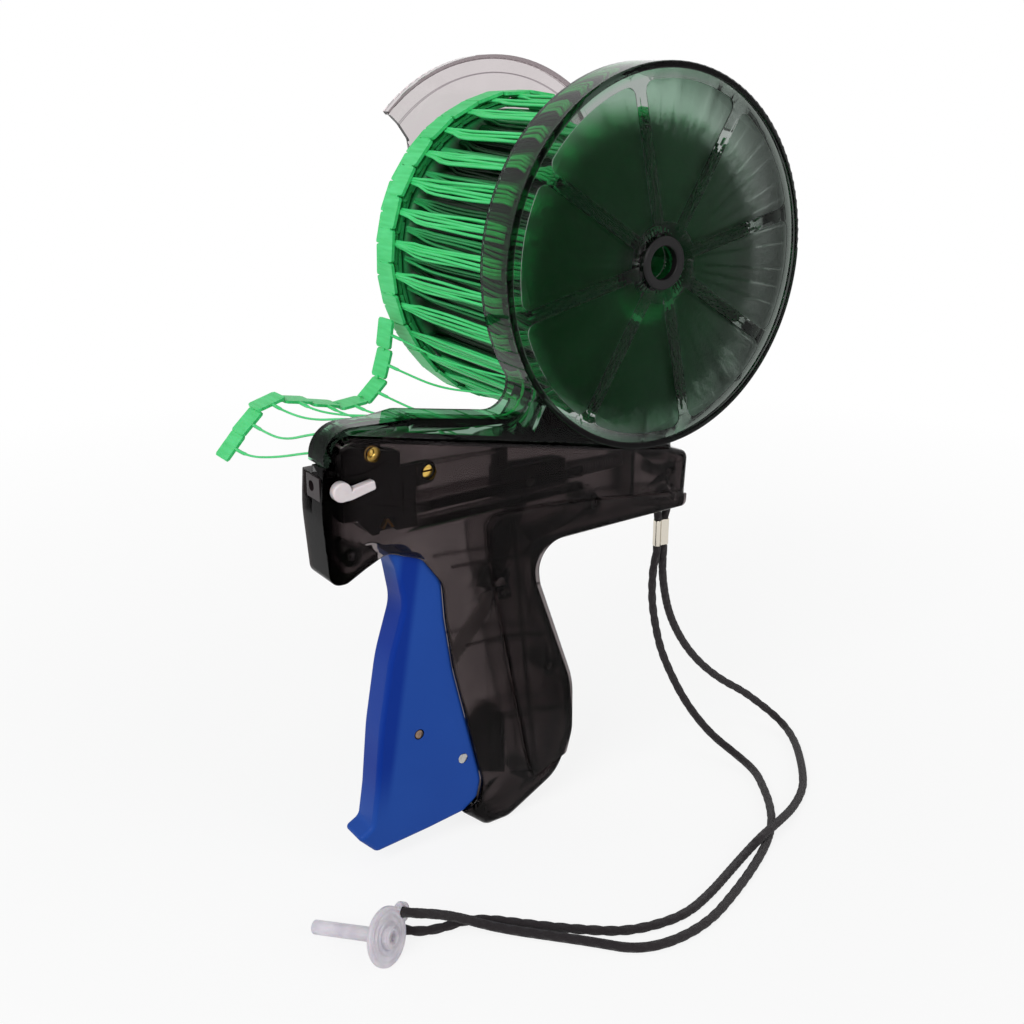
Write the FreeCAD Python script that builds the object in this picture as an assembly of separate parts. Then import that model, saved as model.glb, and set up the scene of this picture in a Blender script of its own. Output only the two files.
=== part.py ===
import FreeCAD, Part
import math
import os

# Garment tag attacher with a reel of paddle fasteners, in millimetres.
# +X is the tail, -X the nose, +Z up, -Y the near side.  The origin is the middle of
# the palm grip; the body's middle plane, which is also the needle's plane, is y = 0.

V = FreeCAD.Vector
os.makedirs("parts", exist_ok=True)

# ---------------------------------------------------------------- driving dimensions
half_width = 7.0           # body shell, from the middle plane to its flat side
side_wall = 1.5            # shell's flat side
edge_wall = 2.0            # shell's rim all round the outline
edge_round = 2.0           # rounding of the shell's outer edge
crisp_round = 0.8          # rounding of the edges at nose, mouth and top
trigger_zone_wall = 1.3    # flat side beside the trigger
mouth_foot_x = -13.5       # the crisp edge of the mouth ends here
top_edge_z = 60.0          # above this the edge is crisp too
panel_proud = 0.6          # the grip panel stands this much over the shell's side
fit_gap = 0.05             # radial clearance of a pin that something turns on
press_gap = 0.02           # radial clearance of a pin that stays put
air_gap = 0.3              # clearance between neighbours that pass each other
seat_gap = 0.05            # clearance of the reel holder on the body

nose_x = -66.0             # front of the nose
nose_step_x = -63.6        # front of the nose behind the feed track's wrap
nose_bulge = 1.1           # the nose swells this much below the wrap
nose_wall = 2.6
tail_x = 71.2              # end of the tail
top_at_origin = 76.5       # height of the body's top line over the origin
top_slope = -0.20          # the top line falls towards the tail
barrel_under = 40.5        # underside of the barrel
grip_foot = -56.0          # lowest line of the grip

needle_z = 73.3            # axis of needle, push rod and nose hole
needle_bore_r = 1.6        # seat of the needle's root

reel_x = 56.0              # reel axis
cup_r = 60.5               # reel cup, outside
cup_lift = 0.2             # cup's lowest point over the body's top line
reel_z = top_at_origin + top_slope * reel_x + cup_r + cup_lift
cup_wall = 1.8
cup_depth = 14.0           # cup, neck and track, measured along Y
plate_t = 2.0              # face of the cup
lip_proud = 0.8            # rounded front lip of the cup
lip_width = 2.2
panel_r = 55.4             # frosted sectors, outside
panel_in_r = 13.0          # frosted sectors, inside
panel_recess = 0.4
panel_count = 8
panel_first_deg = 102.9    # first clear spoke
spoke_width = 4.2
panel_corner = 3.0
wrap_back_y = 2.6          # far side of the wrap over the nose

bush_r = 8.5               # black hub bush
bush_bore_r = 5.4
spindle_r = 7.6            # retainer's spindle
spindle_bore_r = 5.9
socket_r = 9.6             # hub socket behind the cup's face
socket_depth = 5.5
core_bore_r = 13.3         # roll's cardboard-free core, hangs on the spindle
core_r = 15.2
core_rib_count = 12
core_rib = 0.9
roll_room = 5.7            # cup's wall to the wound fasteners
roll_cup_r = cup_r - cup_wall - roll_room
roll_r = roll_cup_r + 2.0  # wound fasteners outside the cup
roll_x = 55.2              # the core's wide bore lets the roll hang low on its spindle
roll_y0 = -3.6
roll_step_y = 12.0
paddle_y0 = 68.6
paddle_y1 = 81.2
retainer_y = 87.6          # inner face of the retainer's plate
retainer_t = 2.0
retainer_r = 62.8
retainer_rim_w = 1.6
retainer_rim_h = 3.6
retainer_hub_r = 14.0

pivot_x = -20.9            # trigger's pivot
pivot_z = -27.9
pivot_pin_r = 1.75
drive_pin_x = -37.1        # drive pin in the trigger
drive_pin_z = -13.7
drive_pin_r = 1.75
trigger_half = 5.4
trigger_wall = 1.6
trigger_edge_round = 1.6

crank_x = -6.5             # drive crank's pivot
crank_z = 31.5
crank_pin_r = 1.75
crank_half = 1.2           # half its thickness
crank_hub_r = 4.5
crank_boss_r = 3.1
toe_arm = 7.29             # pivot to toe pin
toe_mid_deg = -32.3        # direction of the toe pin when the crank stands square
toe_pin_r = 1.25
crank_half_swing = 22.29   # degrees each side of square
carriage_pin_z = 62.0      # drive pin of the carriage
carriage_pin_r = 1.5
crank_slot_gap = 0.5       # the crank's slot is this much wider than the pin, each side

link_y0 = 1.5              # push link lies beside the crank
link_t = 1.6
link_width = 5.0
link_eye_r = 4.0
toe_eye_gap = 0.75         # play of the link's far eye

carriage_x0 = -4.5
carriage_x1 = 20.0
carriage_z0 = 58.5
carriage_z1 = 67.5
carriage_half = 3.6
runner_x0 = -35.4          # runner in each shell under the carriage
runner_x1 = 26.0
rod_r = 0.8
rod_tip_x = -48.0
spring_r = 2.7             # return spring
spring_wire = 0.7
spring_z = 62.0
spring_anchor_x = 46.0

wheel_x = -50.2            # feed wheel behind the nose
wheel_z = 81.2
wheel_r = 5.2
wheel_teeth = 12
tooth_depth = 1.2
wheel_y0 = -3.0
wheel_y1 = 0.0
axle_r = 1.2

rail_r = 0.55              # T-bar rail of the strip
rail_nose_x = -56.3
rail_end_z = 76.4
rail_top_z = 87.2

lever_x = -61.8            # needle lock lever
lever_z = 72.8
lever_head_r = 2.9
lever_len = 10.6
lever_width = 2.7
lever_t = 2.5
lever_shaft_r = 1.5

paddle_len = 10.2
paddle_width = 9.4
paddle_t = 1.1
filament_r = 0.4
loose_y = 68.5             # near edge of the loose paddles

cord_d = 2.9
ferrule_x = 66.0
ferrule_top = 35.6
ferrule_len = 9.6
ferrule_w = 6.2
ferrule_t = 3.6
strap_pin_r = 0.9
strap_pin_z = 45.0

guard_x = -72.9            # needle guard's disc, standing on its edge
guard_y = -47.0
guard_z = -47.4
guard_axis = (-0.43, 0.868, -0.24)
guard_r = 8.5
guard_t = 1.6
guard_stem_r = 2.1
guard_stem_len = 27.0
guard_bore_r = 1.1
guard_bore_len = 22.0
eye_turn = 17.0            # degrees that the eye for the strap stands above the disc's side
eye_reach = 8.9            # disc's centre to the eye's hole
eye_r = 2.9
eye_hole_r = 1.7

shell_screws_xz = ((-58.0, 51.5), (63.0, 55.0), (31.0, 49.5), (6.0, -43.0), (13.5, -4.0))
shell_screw_r = 1.25
shell_screw_head_r = 2.6
shell_boss_r = 3.1
near_block_screw = (-32.0, 72.7)
far_block_screw = (-53.4, 65.6)
block_screw_r = 1.0
block_screw_head_r = 2.1


# ---------------------------------------------------------------------- shape helpers
def top_z(x):
    """Height of the body's top line."""
    return top_at_origin + top_slope * x


def rounded_wire(points):
    """Closed outline in the XZ plane; each point is (x, z) or (x, z, corner radius)."""
    corners = [V(p[0], 0, p[1]) for p in points]
    radii = [p[2] if len(p) > 2 else 0.0 for p in points]
    count = len(corners)
    ends = []
    for i, corner in enumerate(corners):
        if radii[i] == 0:
            ends.append((corner, None, corner))
            continue
        back = (corners[i - 1] - corner).normalize()
        ahead = (corners[(i + 1) % count] - corner).normalize()
        half = back.getAngle(ahead) / 2
        reach = radii[i] / math.tan(half)
        middle = (back + ahead).normalize()
        centre = corner + middle * (radii[i] / math.sin(half))
        ends.append((corner + back * reach, centre - middle * radii[i], corner + ahead * reach))
    edges = []
    for i in range(count):
        start, mid, stop = ends[i]
        if mid is not None:
            edges.append(Part.Arc(start, mid, stop).toShape())
        following = ends[(i + 1) % count][0]
        if stop.distanceToPoint(following) > 1e-6:
            edges.append(Part.LineSegment(stop, following).toShape())
    return Part.Wire(edges)


def prism(points, y0, y1):
    """Solid of an XZ outline between two Y planes."""
    wire = points if isinstance(points, Part.Wire) else rounded_wire(points)
    face = Part.Face(wire)
    face.translate(V(0, y0, 0))
    return face.extrude(V(0, y1 - y0, 0))


def box(x0, x1, y0, y1, z0, z1):
    return Part.makeBox(x1 - x0, y1 - y0, z1 - z0, V(x0, y0, z0))


def disc_y(x, z, r, y0, y1):
    """Cylinder along Y."""
    return Part.makeCylinder(r, y1 - y0, V(x, y0, z), V(0, 1, 0))


def tube_y(x, z, r_out, r_in, y0, y1):
    return disc_y(x, z, r_out, y0, y1).cut(disc_y(x, z, r_in, y0 - 1, y1 + 1))


def bar(start, stop, r):
    """Round bar between two points."""
    run = V(*stop) - V(*start)
    return Part.makeCylinder(r, run.Length, V(*start), run)


def fused(shapes):
    solid = shapes[0]
    for other in shapes[1:]:
        solid = solid.fuse(other)
    return solid.removeSplitter()


def edges_on_plane(shape, y):
    """Edges that lie wholly in the plane at height y along Y."""
    found = []
    for edge in shape.Edges:
        limits = edge.BoundBox
        if abs(limits.YMin - y) < 1e-4 and abs(limits.YMax - y) < 1e-4:
            found.append(edge)
    return found


def mirrored(shape):
    """The same shape on the other side of the middle plane."""
    return shape.mirror(V(0, 0, 0), V(0, 1, 0))


def save(node, shape):
    shape.exportStep("parts/" + node + ".step")
    limits = shape.BoundBox
    print(node, len(shape.Solids), round(shape.Volume, 1), shape.isValid(),
          [round(v, 1) for v in (limits.XMin, limits.XMax, limits.YMin, limits.YMax, limits.ZMin, limits.ZMax)])


# ------------------------------------------------------------------------ body shells
# Two smoke clear mouldings that meet on the middle plane.  The mouth in front of the
# grip is open for the trigger, which swings back between the two flat sides.
mouth_edge = [
    (-46.8, 50.2, 6), (-35.0, 45.6, 6), (-28.0, 36.0, 9), (-27.2, 24.0, 12), (-24.6, 6.0, 60),
    (-14.0, -38.5, 8), (-16.0, -46.2, 4), (-22.2, -47.4)]
nose_foot = [
    (nose_x, 79.4), (nose_x - nose_bulge, 66.0, 50), (-65.5, 43.9, 3.6), (-60.4, 43.7, 4), (-54.0, 47.0, 8)]
body_outline = (
    nose_foot + mouth_edge
    + [(-12.6, grip_foot, 4), (-3.4, grip_foot, 8), (17.2, -45.4, 14), (23.4, -30.0, 16),
       (21.8, -11.0, 30), (7.6, 27.5, 8), (5.8, barrel_under, 9), (tail_x - 1.0, barrel_under + 0.9, 2.5),
       (tail_x, 61.0, 3.2), (62.4, top_z(62.4), 6), (nose_step_x, top_z(nose_step_x), 5.5), (nose_step_x, 79.4)])
cavity_outline = [
    (nose_x + nose_wall, 78.0), (nose_x + nose_wall, 47.6, 3), (-58.6, 46.6, 3), (-54.0, 49.4, 6),
    (-46.6, 52.4, 4), (-33.6, 48.0, 6), (-25.6, 37.0, 9), (-24.8, 24.0, 12), (-22.2, 6.0, 40),
    (-11.6, -38.5, 6), (-13.6, -47.6, 3), (-9.8, grip_foot + 3.2, 3), (-3.6, grip_foot + 3.2, 6),
    (14.8, -44.2, 12), (20.4, -29.6, 14), (18.8, -11.4, 28), (5.4, 27.2, 9), (4.9, barrel_under + 2.6, 3),
    (tail_x - 3.2, barrel_under + 3.0, 1.5), (tail_x - 2.2, 59.4, 2.0), (61.6, top_z(61.6) - edge_wall, 4),
    (nose_step_x + 2.4, top_z(-61.4) - edge_wall - 0.4, 4), (nose_step_x + 2.4, 78.0)]
# Room in which the trigger swings.
trigger_well = [
    (-49.8, 44.0), (-49.8, 54.0, 3), (-14.0, 54.0, 4), (-9.9, 45.0, 4), (-8.6, 33.0, 8), (-12.4, 8.0, 30),
    (-11.4, -22.0, 20), (-11.0, -38.0, 6), (-15.2, -48.0, 4), (-22.0, -49.0), (-30.0, -50.0), (-60.0, -30.0),
    (-60.0, 40.0)]
panel_outline = [
    (-11.6, 54.0, 6), (15.0, 53.2, 30), (tail_x - 0.6, 46.2), (tail_x - 0.6, barrel_under + 1.5, 2),
    (6.6, barrel_under + 0.9, 9.5), (8.5, 27.5, 8), (22.4, -11.0, 30), (22.6, -30.0, 14), (20.2, -38.8, 2),
    (6.0, -43.8, 2), (-3.4, 2.0, 60), (-9.8, 36.0, 20)]


def shell_ribs():
    """Ribs and runners that stand on the inside of one flat side (near half)."""
    inner = -half_width + side_wall
    rib = 0.6
    pieces = []
    for x0, x1, z0, z1 in ((-27.0, 4.9, 40.0, 38.6), (-20.6, 14.0, 12.2, 8.4), (-15.4, 19.8, -17.2, -20.6)):
        pieces.append(prism([(x0, z0 - 0.6), (x1, z1 - 0.6), (x1, z1 + 0.6), (x0, z0 + 0.6)], inner, inner + rib))
    pieces.append(prism([(-2.2, 50.0), (-0.6, 50.0), (8.6, -42.0), (7.0, -42.0)], inner, inner + rib))
    # runner under the carriage, and the guide beside it
    pieces.append(box(runner_x0, runner_x1, inner, -crank_half - 0.8, 56.0, carriage_z0 - air_gap))
    pieces.append(box(runner_x0, runner_x1, inner, -carriage_half - air_gap, 60.5, 63.5))
    # bulkhead that the return spring is hooked to
    pieces.append(box(spring_anchor_x, spring_anchor_x + 1.5, inner, 0, 49.0, top_z(spring_anchor_x)))
    return pieces


def trigger_ear(y0, y1):
    """Tongue inside the trigger's channel that holds the pivot pin."""
    ear = prism([(-5.0, -15.0), (-22.4, -22.4, 4.2), (-25.6, -28.0, 4.2), (-21.0, -33.4, 4.2), (-5.0, -39.0)],
                y0, y1)
    # its foot stands on the shell's flat side behind the trigger
    foot = prism([(-10.4, -18.0), (-5.0, -16.0), (-5.0, -38.0), (-10.4, -36.0)], -half_width + side_wall - 0.2, y1)
    ear = ear.fuse(foot)
    return ear.cut(disc_y(pivot_x, pivot_z, pivot_pin_r + press_gap, y0 - 1, y1 + 1))


def half_shell():
    """Near half of the body, before what differs from side to side."""
    outer = prism(body_outline, -half_width, 0)
    palm_side = []
    for edge in edges_on_plane(outer, -half_width):
        limits = edge.BoundBox
        if limits.XMax > mouth_foot_x and limits.ZMin < top_edge_z:
            palm_side.append(edge)
    outer = outer.makeFillet(edge_round, palm_side)
    crisp = []
    for edge in edges_on_plane(outer, -half_width):
        limits = edge.BoundBox
        if limits.XMax <= mouth_foot_x or limits.ZMin >= top_edge_z:
            crisp.append(edge)
    outer = outer.makeFillet(crisp_round, crisp)
    panel = prism(panel_outline, -half_width - panel_proud, -half_width + 1.0)
    panel = panel.makeChamfer(panel_proud * 0.8, edges_on_plane(panel, -half_width - panel_proud))
    outer = outer.fuse(panel)
    shell = outer.cut(prism(cavity_outline, -half_width + side_wall, 1))
    inside = prism(cavity_outline, -half_width + side_wall - 0.2, 0)
    for rib in shell_ribs():
        shell = shell.fuse(rib.common(inside))
    well_side = half_width - trigger_zone_wall
    shell = shell.cut(prism(trigger_well, -well_side, 1))
    for x, z in shell_screws_xz:
        shell = shell.fuse(disc_y(x, z, shell_boss_r, -half_width + 1.0, 0))
    ear_reach = trigger_half - trigger_wall - air_gap
    shell = shell.fuse(trigger_ear(-ear_reach, 0))
    shell = shell.fuse(disc_y(crank_x, crank_z, crank_boss_r, -half_width + 1.0, -link_y0 - link_t - air_gap))
    shell = shell.cut(disc_y(crank_x, crank_z, crank_pin_r + press_gap, -half_width + 0.8, 1))
    # strap pin's hole in the tail
    shell = shell.cut(disc_y(ferrule_x, strap_pin_z, strap_pin_r + press_gap, -half_width + 0.7, 1))
    # opening that the front of the needle clamp fills
    shell = shell.cut(box(nose_x - 2.0, nose_x + nose_wall + 0.2, -5.2, 3.0, 69.6, 76.6))
    # the strip comes in through the top of the nose, over the feed wheel
    shell = shell.cut(box(rail_nose_x - 2.0, -38.0, wheel_y0 - air_gap, 1, 82.0, 92.0))
    # the cup sits in a shallow dish in the top
    shell = shell.cut(disc_y(reel_x, reel_z, cup_r + seat_gap, -half_width - 1, 1))
    return shell


def make_shells():
    slot_half = ferrule_w / 2 + 1.0
    slot_top = strap_pin_z + strap_pin_r + cord_d + 1.0
    strap_slot = box(ferrule_x - slot_half, ferrule_x + slot_half, -cord_d / 2 - 0.4, cord_d / 2 + 0.4, 38.0, slot_top)
    near = half_shell()
    # the crank runs against a longer boss on this side
    near = near.fuse(disc_y(crank_x, crank_z, crank_boss_r, -half_width + 1.0, -crank_half - air_gap))
    near = near.cut(disc_y(crank_x, crank_z, crank_pin_r + press_gap, -half_width + 0.8, 1))
    for x, z in shell_screws_xz:
        near = near.cut(disc_y(x, z, shell_screw_r + press_gap, -half_width + 1.6, 1))
    near = near.cut(disc_y(lever_x, lever_z, lever_shaft_r + fit_gap, -half_width - 1, -2))
    near = near.cut(strap_slot)
    save("near_shell", near.removeSplitter())

    far = mirrored(half_shell())
    head_y = half_width - 1.2
    for x, z in shell_screws_xz:
        far = far.cut(disc_y(x, z, shell_screw_r + 0.15, -1, half_width + 2))
        far = far.cut(disc_y(x, z, shell_screw_head_r + 0.2, head_y, half_width + 2))
    # filaments leave through a slot down the far side of the nose
    slot_x = rail_nose_x + 1.5
    far = far.cut(box(rail_nose_x - 2.0, slot_x, 0, half_width + 1, 76.8, 92.0))
    far = far.cut(box(nose_x - 2, slot_x, 0.4, half_width + 1, 76.8, 80.0))
    far = far.cut(box(rail_nose_x - 2.0, -38.0, 0, half_width + 1, 85.0, 92.0))
    far = far.cut(strap_slot)
    save("far_shell", far.removeSplitter())

    screws = []
    for x, z in shell_screws_xz:
        shank = disc_y(x, z, shell_screw_r, -half_width + 2.0, head_y)
        head = disc_y(x, z, shell_screw_head_r, head_y, head_y + 1.5)
        cross = box(x - 1.6, x + 1.6, head_y + 0.7, head_y + 2, z - 0.3, z + 0.3)
        slot = box(x - 0.3, x + 0.3, head_y + 0.7, head_y + 2, z - 1.6, z + 1.6)
        screws.append(fused([shank, head]).cut(cross).cut(slot))
    save("shell_screws", Part.makeCompound(screws))
    pin_half = half_width - 0.75
    save("strap_pin", disc_y(ferrule_x, strap_pin_z, strap_pin_r, -pin_half, pin_half))


# the roll hangs on the retainer's spindle
roll_z = reel_z - (core_bore_r - core_rib - spindle_r) + air_gap


def off_roll(gap, degrees):
    """Point that far outside the roll, in that direction from its centre."""
    a = math.radians(degrees)
    return (roll_x + (roll_r + gap) * math.cos(a), roll_z + (roll_r + gap) * math.sin(a))


# ------------------------------------------------------------------------ reel holder
# One smoke clear moulding: the cup that holds the T-bar end of the roll, the neck, and
# the feed track that lies on the body's top and wraps over the nose.
def sector_panel(index):
    """Shallow pocket of one frosted sector."""
    middle = panel_first_deg + 360.0 / panel_count * (index + 0.5)
    half_angle = math.radians(180.0 / panel_count)
    half_spoke = spoke_width / 2

    def corner(r, side):
        """Point at radius r on a line that runs beside the spoke."""
        along = math.sqrt(r * r - half_spoke * half_spoke)
        a = math.radians(middle) + side * half_angle
        x = reel_x + along * math.cos(a) + side * half_spoke * math.sin(a)
        z = reel_z + along * math.sin(a) - side * half_spoke * math.cos(a)
        return V(x, 0, z)

    def mid(r):
        a = math.radians(middle)
        return V(reel_x + r * math.cos(a), 0, reel_z + r * math.sin(a))

    in_a, in_b = corner(panel_in_r, -1), corner(panel_in_r, 1)
    out_a, out_b = corner(panel_r, -1), corner(panel_r, 1)
    wire = Part.Wire([
        Part.Arc(in_b, mid(panel_in_r), in_a).toShape(), Part.LineSegment(in_a, out_a).toShape(),
        Part.Arc(out_a, mid(panel_r), out_b).toShape(), Part.LineSegment(out_b, in_b).toShape()])
    pocket = prism(wire, -half_width - 1, -half_width + panel_recess)
    upright = []
    for edge in pocket.Edges:
        limits = edge.BoundBox
        if limits.YLength > 1.0 and math.hypot(limits.XMin - reel_x, limits.ZMin - reel_z) > panel_in_r + 5:
            upright.append(edge)
    return pocket.makeFillet(panel_corner, upright)


def make_reel_holder():
    back = -half_width + cup_depth
    front = -half_width + plate_t
    neck_outline = [
        (62.4, top_z(62.4) + seat_gap), (nose_step_x - seat_gap, top_z(nose_step_x) + seat_gap, 5.5),
        (nose_step_x - seat_gap, 80.0),
        (nose_x, 80.0, 0.5), (nose_x, 90.6, 9), (-36.0, 89.7, 20), (4.6, 82.9, 8), (4.6, 98.0, 10),
        (-2.6, 112.0), (20.0, 118.0), (60.0, 90.0)]
    solid = prism(neck_outline, -half_width, back).fuse(disc_y(reel_x, reel_z, cup_r, -half_width, back))
    lip = tube_y(reel_x, reel_z, cup_r, cup_r - lip_width, -half_width - lip_proud, -half_width + 0.5)
    lip = lip.makeFillet(0.7, edges_on_plane(lip, -half_width - lip_proud))
    solid = solid.fuse(lip).removeSplitter()
    solid = solid.cut(disc_y(reel_x, reel_z, cup_r - cup_wall, front, back + 1))
    # over the nose the wrap is narrower, and its far side runs out at a slant
    slant = Part.Face(Part.makePolygon([
        V(nose_x - 1, wrap_back_y, 0), V(-48.0, wrap_back_y, 0), V(-37.0, back, 0), V(-37.0, back + 1, 0),
        V(nose_x - 1, back + 1, 0), V(nose_x - 1, wrap_back_y, 0)]))
    solid = solid.cut(slant.extrude(V(0, 0, 100)))
    track_gap = [
        (-38.0, 87.4), (-36.0, 87.8), (6.4, 80.9, 9.8), (6.4, 98.4, 8), (-0.4, 111.6), (8.0, 114.0),
        (13.4, 98.0), (9.9, 90.6, 1.5), (2.8, 77.9, 2), (-1.0, top_z(-1.0) + 1.6), (-38.0, top_z(-38.0) + 1.6)]
    solid = solid.cut(prism(track_gap, front, back + 1))
    nose_gap = [
        (-37.8, 87.5), (-50.0, 88.7), (-58.4, 88.5, 3), (-58.4, 79.0), (-54.8, 79.0), (-54.8, 84.0),
        (-37.8, 82.0)]
    solid = solid.cut(prism(nose_gap, -2.0, back + 1))
    gusset = [(10.2, 87.6, 1), (5.4, 78.4, 1), (17.4, 76.0, 1)]
    solid = solid.cut(prism(gusset, front, back + 1))
    socket = tube_y(reel_x, reel_z, socket_r, spindle_r + fit_gap, front - 0.5, front + socket_depth)
    solid = solid.fuse(socket)
    solid = solid.cut(disc_y(reel_x, reel_z, bush_r + press_gap, -half_width - 1, front))
    for index in range(panel_count):
        solid = solid.cut(sector_panel(index))
    save("reel_holder", solid.removeSplitter())

    bush = tube_y(reel_x, reel_z, bush_r, bush_bore_r, -half_width - 0.6, front)
    bush = bush.makeChamfer(0.5, edges_on_plane(bush, -half_width - 0.6))
    save("hub_bush", bush)


def make_roll():
    core_y0 = -half_width + plate_t + socket_depth + air_gap
    core = tube_y(roll_x, roll_z, core_r, core_bore_r, core_y0, paddle_y1 - 1.0)
    ribs = []
    for i in range(core_rib_count):
        a = 2 * math.pi * (i + 0.5) / core_rib_count
        x = roll_x + core_bore_r * math.cos(a)
        z = roll_z + core_bore_r * math.sin(a)
        ribs.append(disc_y(x, z, core_rib, core_y0, paddle_y1 - 1.0))
    save("roll_core", fused([core] + ribs))
    wound = tube_y(roll_x, roll_z, roll_cup_r, core_r + press_gap, roll_y0, roll_step_y)
    waist = tube_y(roll_x, roll_z, roll_r - 1.0, core_r + press_gap, roll_step_y, paddle_y0)
    paddles = tube_y(roll_x, roll_z, roll_r, core_r + press_gap, paddle_y0, paddle_y1)
    save("fastener_roll", fused([wound, waist, paddles]))
    print("roll centre", roll_x, roll_z)


def make_retainer():
    rim_y1 = retainer_y + retainer_rim_h
    keep = [
        (reel_x - 48.0, reel_z + 47.8), (reel_x - 43.9, reel_z + 43.0, 1), (reel_x - 40.4, reel_z + 39.8, 4),
        (reel_x - 36.6, reel_z + 34.6, 3), (reel_x - 36.0, reel_z + 30.0, 8), (reel_x - 30.0, reel_z + 16.0, 12),
        (reel_x - 12.0, reel_z + 8.0, 6), (reel_x - 10.0, reel_z - 14.0, 12), (reel_x + 6.0, reel_z - 36.0, 26),
        (reel_x + 10.0, reel_z - 64.0), (reel_x + 70.0, reel_z - 64.0), (reel_x + 70.0, reel_z + 70.0),
        (reel_x - 48.0, reel_z + 70.0)]
    plate = disc_y(reel_x, reel_z, retainer_r, retainer_y, retainer_y + retainer_t)
    rim = tube_y(reel_x, reel_z, retainer_r, retainer_r - retainer_rim_w, retainer_y, rim_y1)
    fan = plate.fuse(rim).common(prism(keep, retainer_y - 1, rim_y1 + 1))
    hub = disc_y(reel_x, reel_z, retainer_hub_r, retainer_y, retainer_y + retainer_t + 1.0)
    spindle = disc_y(reel_x, reel_z, spindle_r, -half_width + plate_t + 0.3, retainer_y + 1.0)
    bore = disc_y(reel_x, reel_z, spindle_bore_r, -half_width, rim_y1 + 1)
    save("reel_retainer", fused([fan, hub, spindle]).cut(bore))


# ---------------------------------------------------------------- fasteners off the roll
def make_strip():
    """T-bar rail in the track, and the loose paddles with their filaments."""
    track, radii = cord_path([(x, 0, z) for x, z in (
        (7.05, 97.8), (8.6, 93.4), (5.1, 83.2), (-5.0, 80.9), (-38.0, 86.4), (-50.0, rail_top_z),
        (rail_nose_x, rail_top_z), (rail_nose_x, rail_end_z))])
    save("tbar_rail", swept_round(track, rail_r))

    line = [
        off_roll(6.3, 203.763), off_roll(12.54, 211.313), (-6.9, 77.3), (-16.0, 73.9), (-26.6, 75.4), (-37.0, 78.2),
        (-46.8, 79.0), (-54.2, 73.2), (-60.8, 66.0)]
    roots = [off_roll(0.79, 211.44), off_roll(5.42, 214.82), (-2.4, 82.2), (-12.6, 82.6), (-23.5, 84.2), (-34.5, 85.9),
             (-45.0, 87.0), (rail_nose_x, 84.8), (rail_nose_x, 78.8)]
    y_mid = loose_y + paddle_width / 2
    pieces = []
    for i, (x, z) in enumerate(line):
        before = line[max(i - 1, 0)]
        after = line[min(i + 1, len(line) - 1)]
        tilt = math.degrees(math.atan2(after[1] - before[1], after[0] - before[0]))
        plate = box(-paddle_len / 2, paddle_len / 2, -paddle_width / 2, paddle_width / 2, -paddle_t / 2, paddle_t / 2)
        plate.rotate(V(0, 0, 0), V(0, 1, 0), -tilt)
        plate.translate(V(x, y_mid, z))
        pieces.append(plate)
        if i > 0:
            pieces.append(bar((line[i - 1][0], y_mid, line[i - 1][1]), (x, y_mid, z), filament_r))
    # each filament leaves the track square to it, then reaches over to its paddle
    for (x, z), (root_x, root_z) in zip(line, roots):
        elbow = (root_x, half_width + 1.0, root_z)
        pieces.append(bar((root_x, rail_r + 0.6, root_z), elbow, filament_r))
        pieces.append(Part.makeSphere(filament_r, V(*elbow)))
        pieces.append(bar(elbow, (x, loose_y + 0.3, z), filament_r))
    save("loose_fasteners", fused(pieces))


def cord_path(points):
    """Straight runs joined by tangent arcs, each as large as its two runs allow."""
    nodes = [V(*p) for p in points]
    edges = []
    radii = []
    start = nodes[0]
    for i in range(1, len(nodes) - 1):
        back = nodes[i - 1] - nodes[i]
        ahead = nodes[i + 1] - nodes[i]
        reach = 0.45 * min(back.Length, ahead.Length)
        turn = math.pi - back.getAngle(ahead)
        radius = reach / math.tan(turn / 2)
        back.normalize()
        ahead.normalize()
        middle = (back + ahead).normalize()
        centre = nodes[i] + middle * math.hypot(radius, reach)
        first = nodes[i] + back * reach
        last = nodes[i] + ahead * reach
        edges.append(Part.LineSegment(start, first).toShape())
        edges.append(Part.Arc(first, centre - middle * radius, last).toShape())
        radii.append(round(radius, 1))
        start = last
    edges.append(Part.LineSegment(start, nodes[-1]).toShape())
    return Part.Wire(edges), radii


def swept_round(path, r):
    """Round section carried along a path of runs and arcs."""
    first = path.OrderedEdges[0]
    start = first.valueAt(first.FirstParameter)
    ring = Part.makeCircle(r, start, first.tangentAt(first.FirstParameter))
    return path.makePipeShell([Part.Wire([ring])], True, False)


# ------------------------------------------------------------------ nose and mechanism
def block_screw(x, z):
    """Slotted brass screw whose domed head lies on the near side of the feed block."""
    face = -(half_width - side_wall - air_gap)
    shank = disc_y(x, z, block_screw_r, face, face + 2.0)
    head = Part.makeSphere(block_screw_head_r, V(x, face + 0.6, z))
    head = head.common(disc_y(x, z, block_screw_head_r, face - 0.2, face + 0.5))
    slot = box(x - 1.4, x + 1.4, face - 1, face + 0.1, z - 0.25, z + 0.25)
    return fused([shank, head]).cut(slot)


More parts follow.
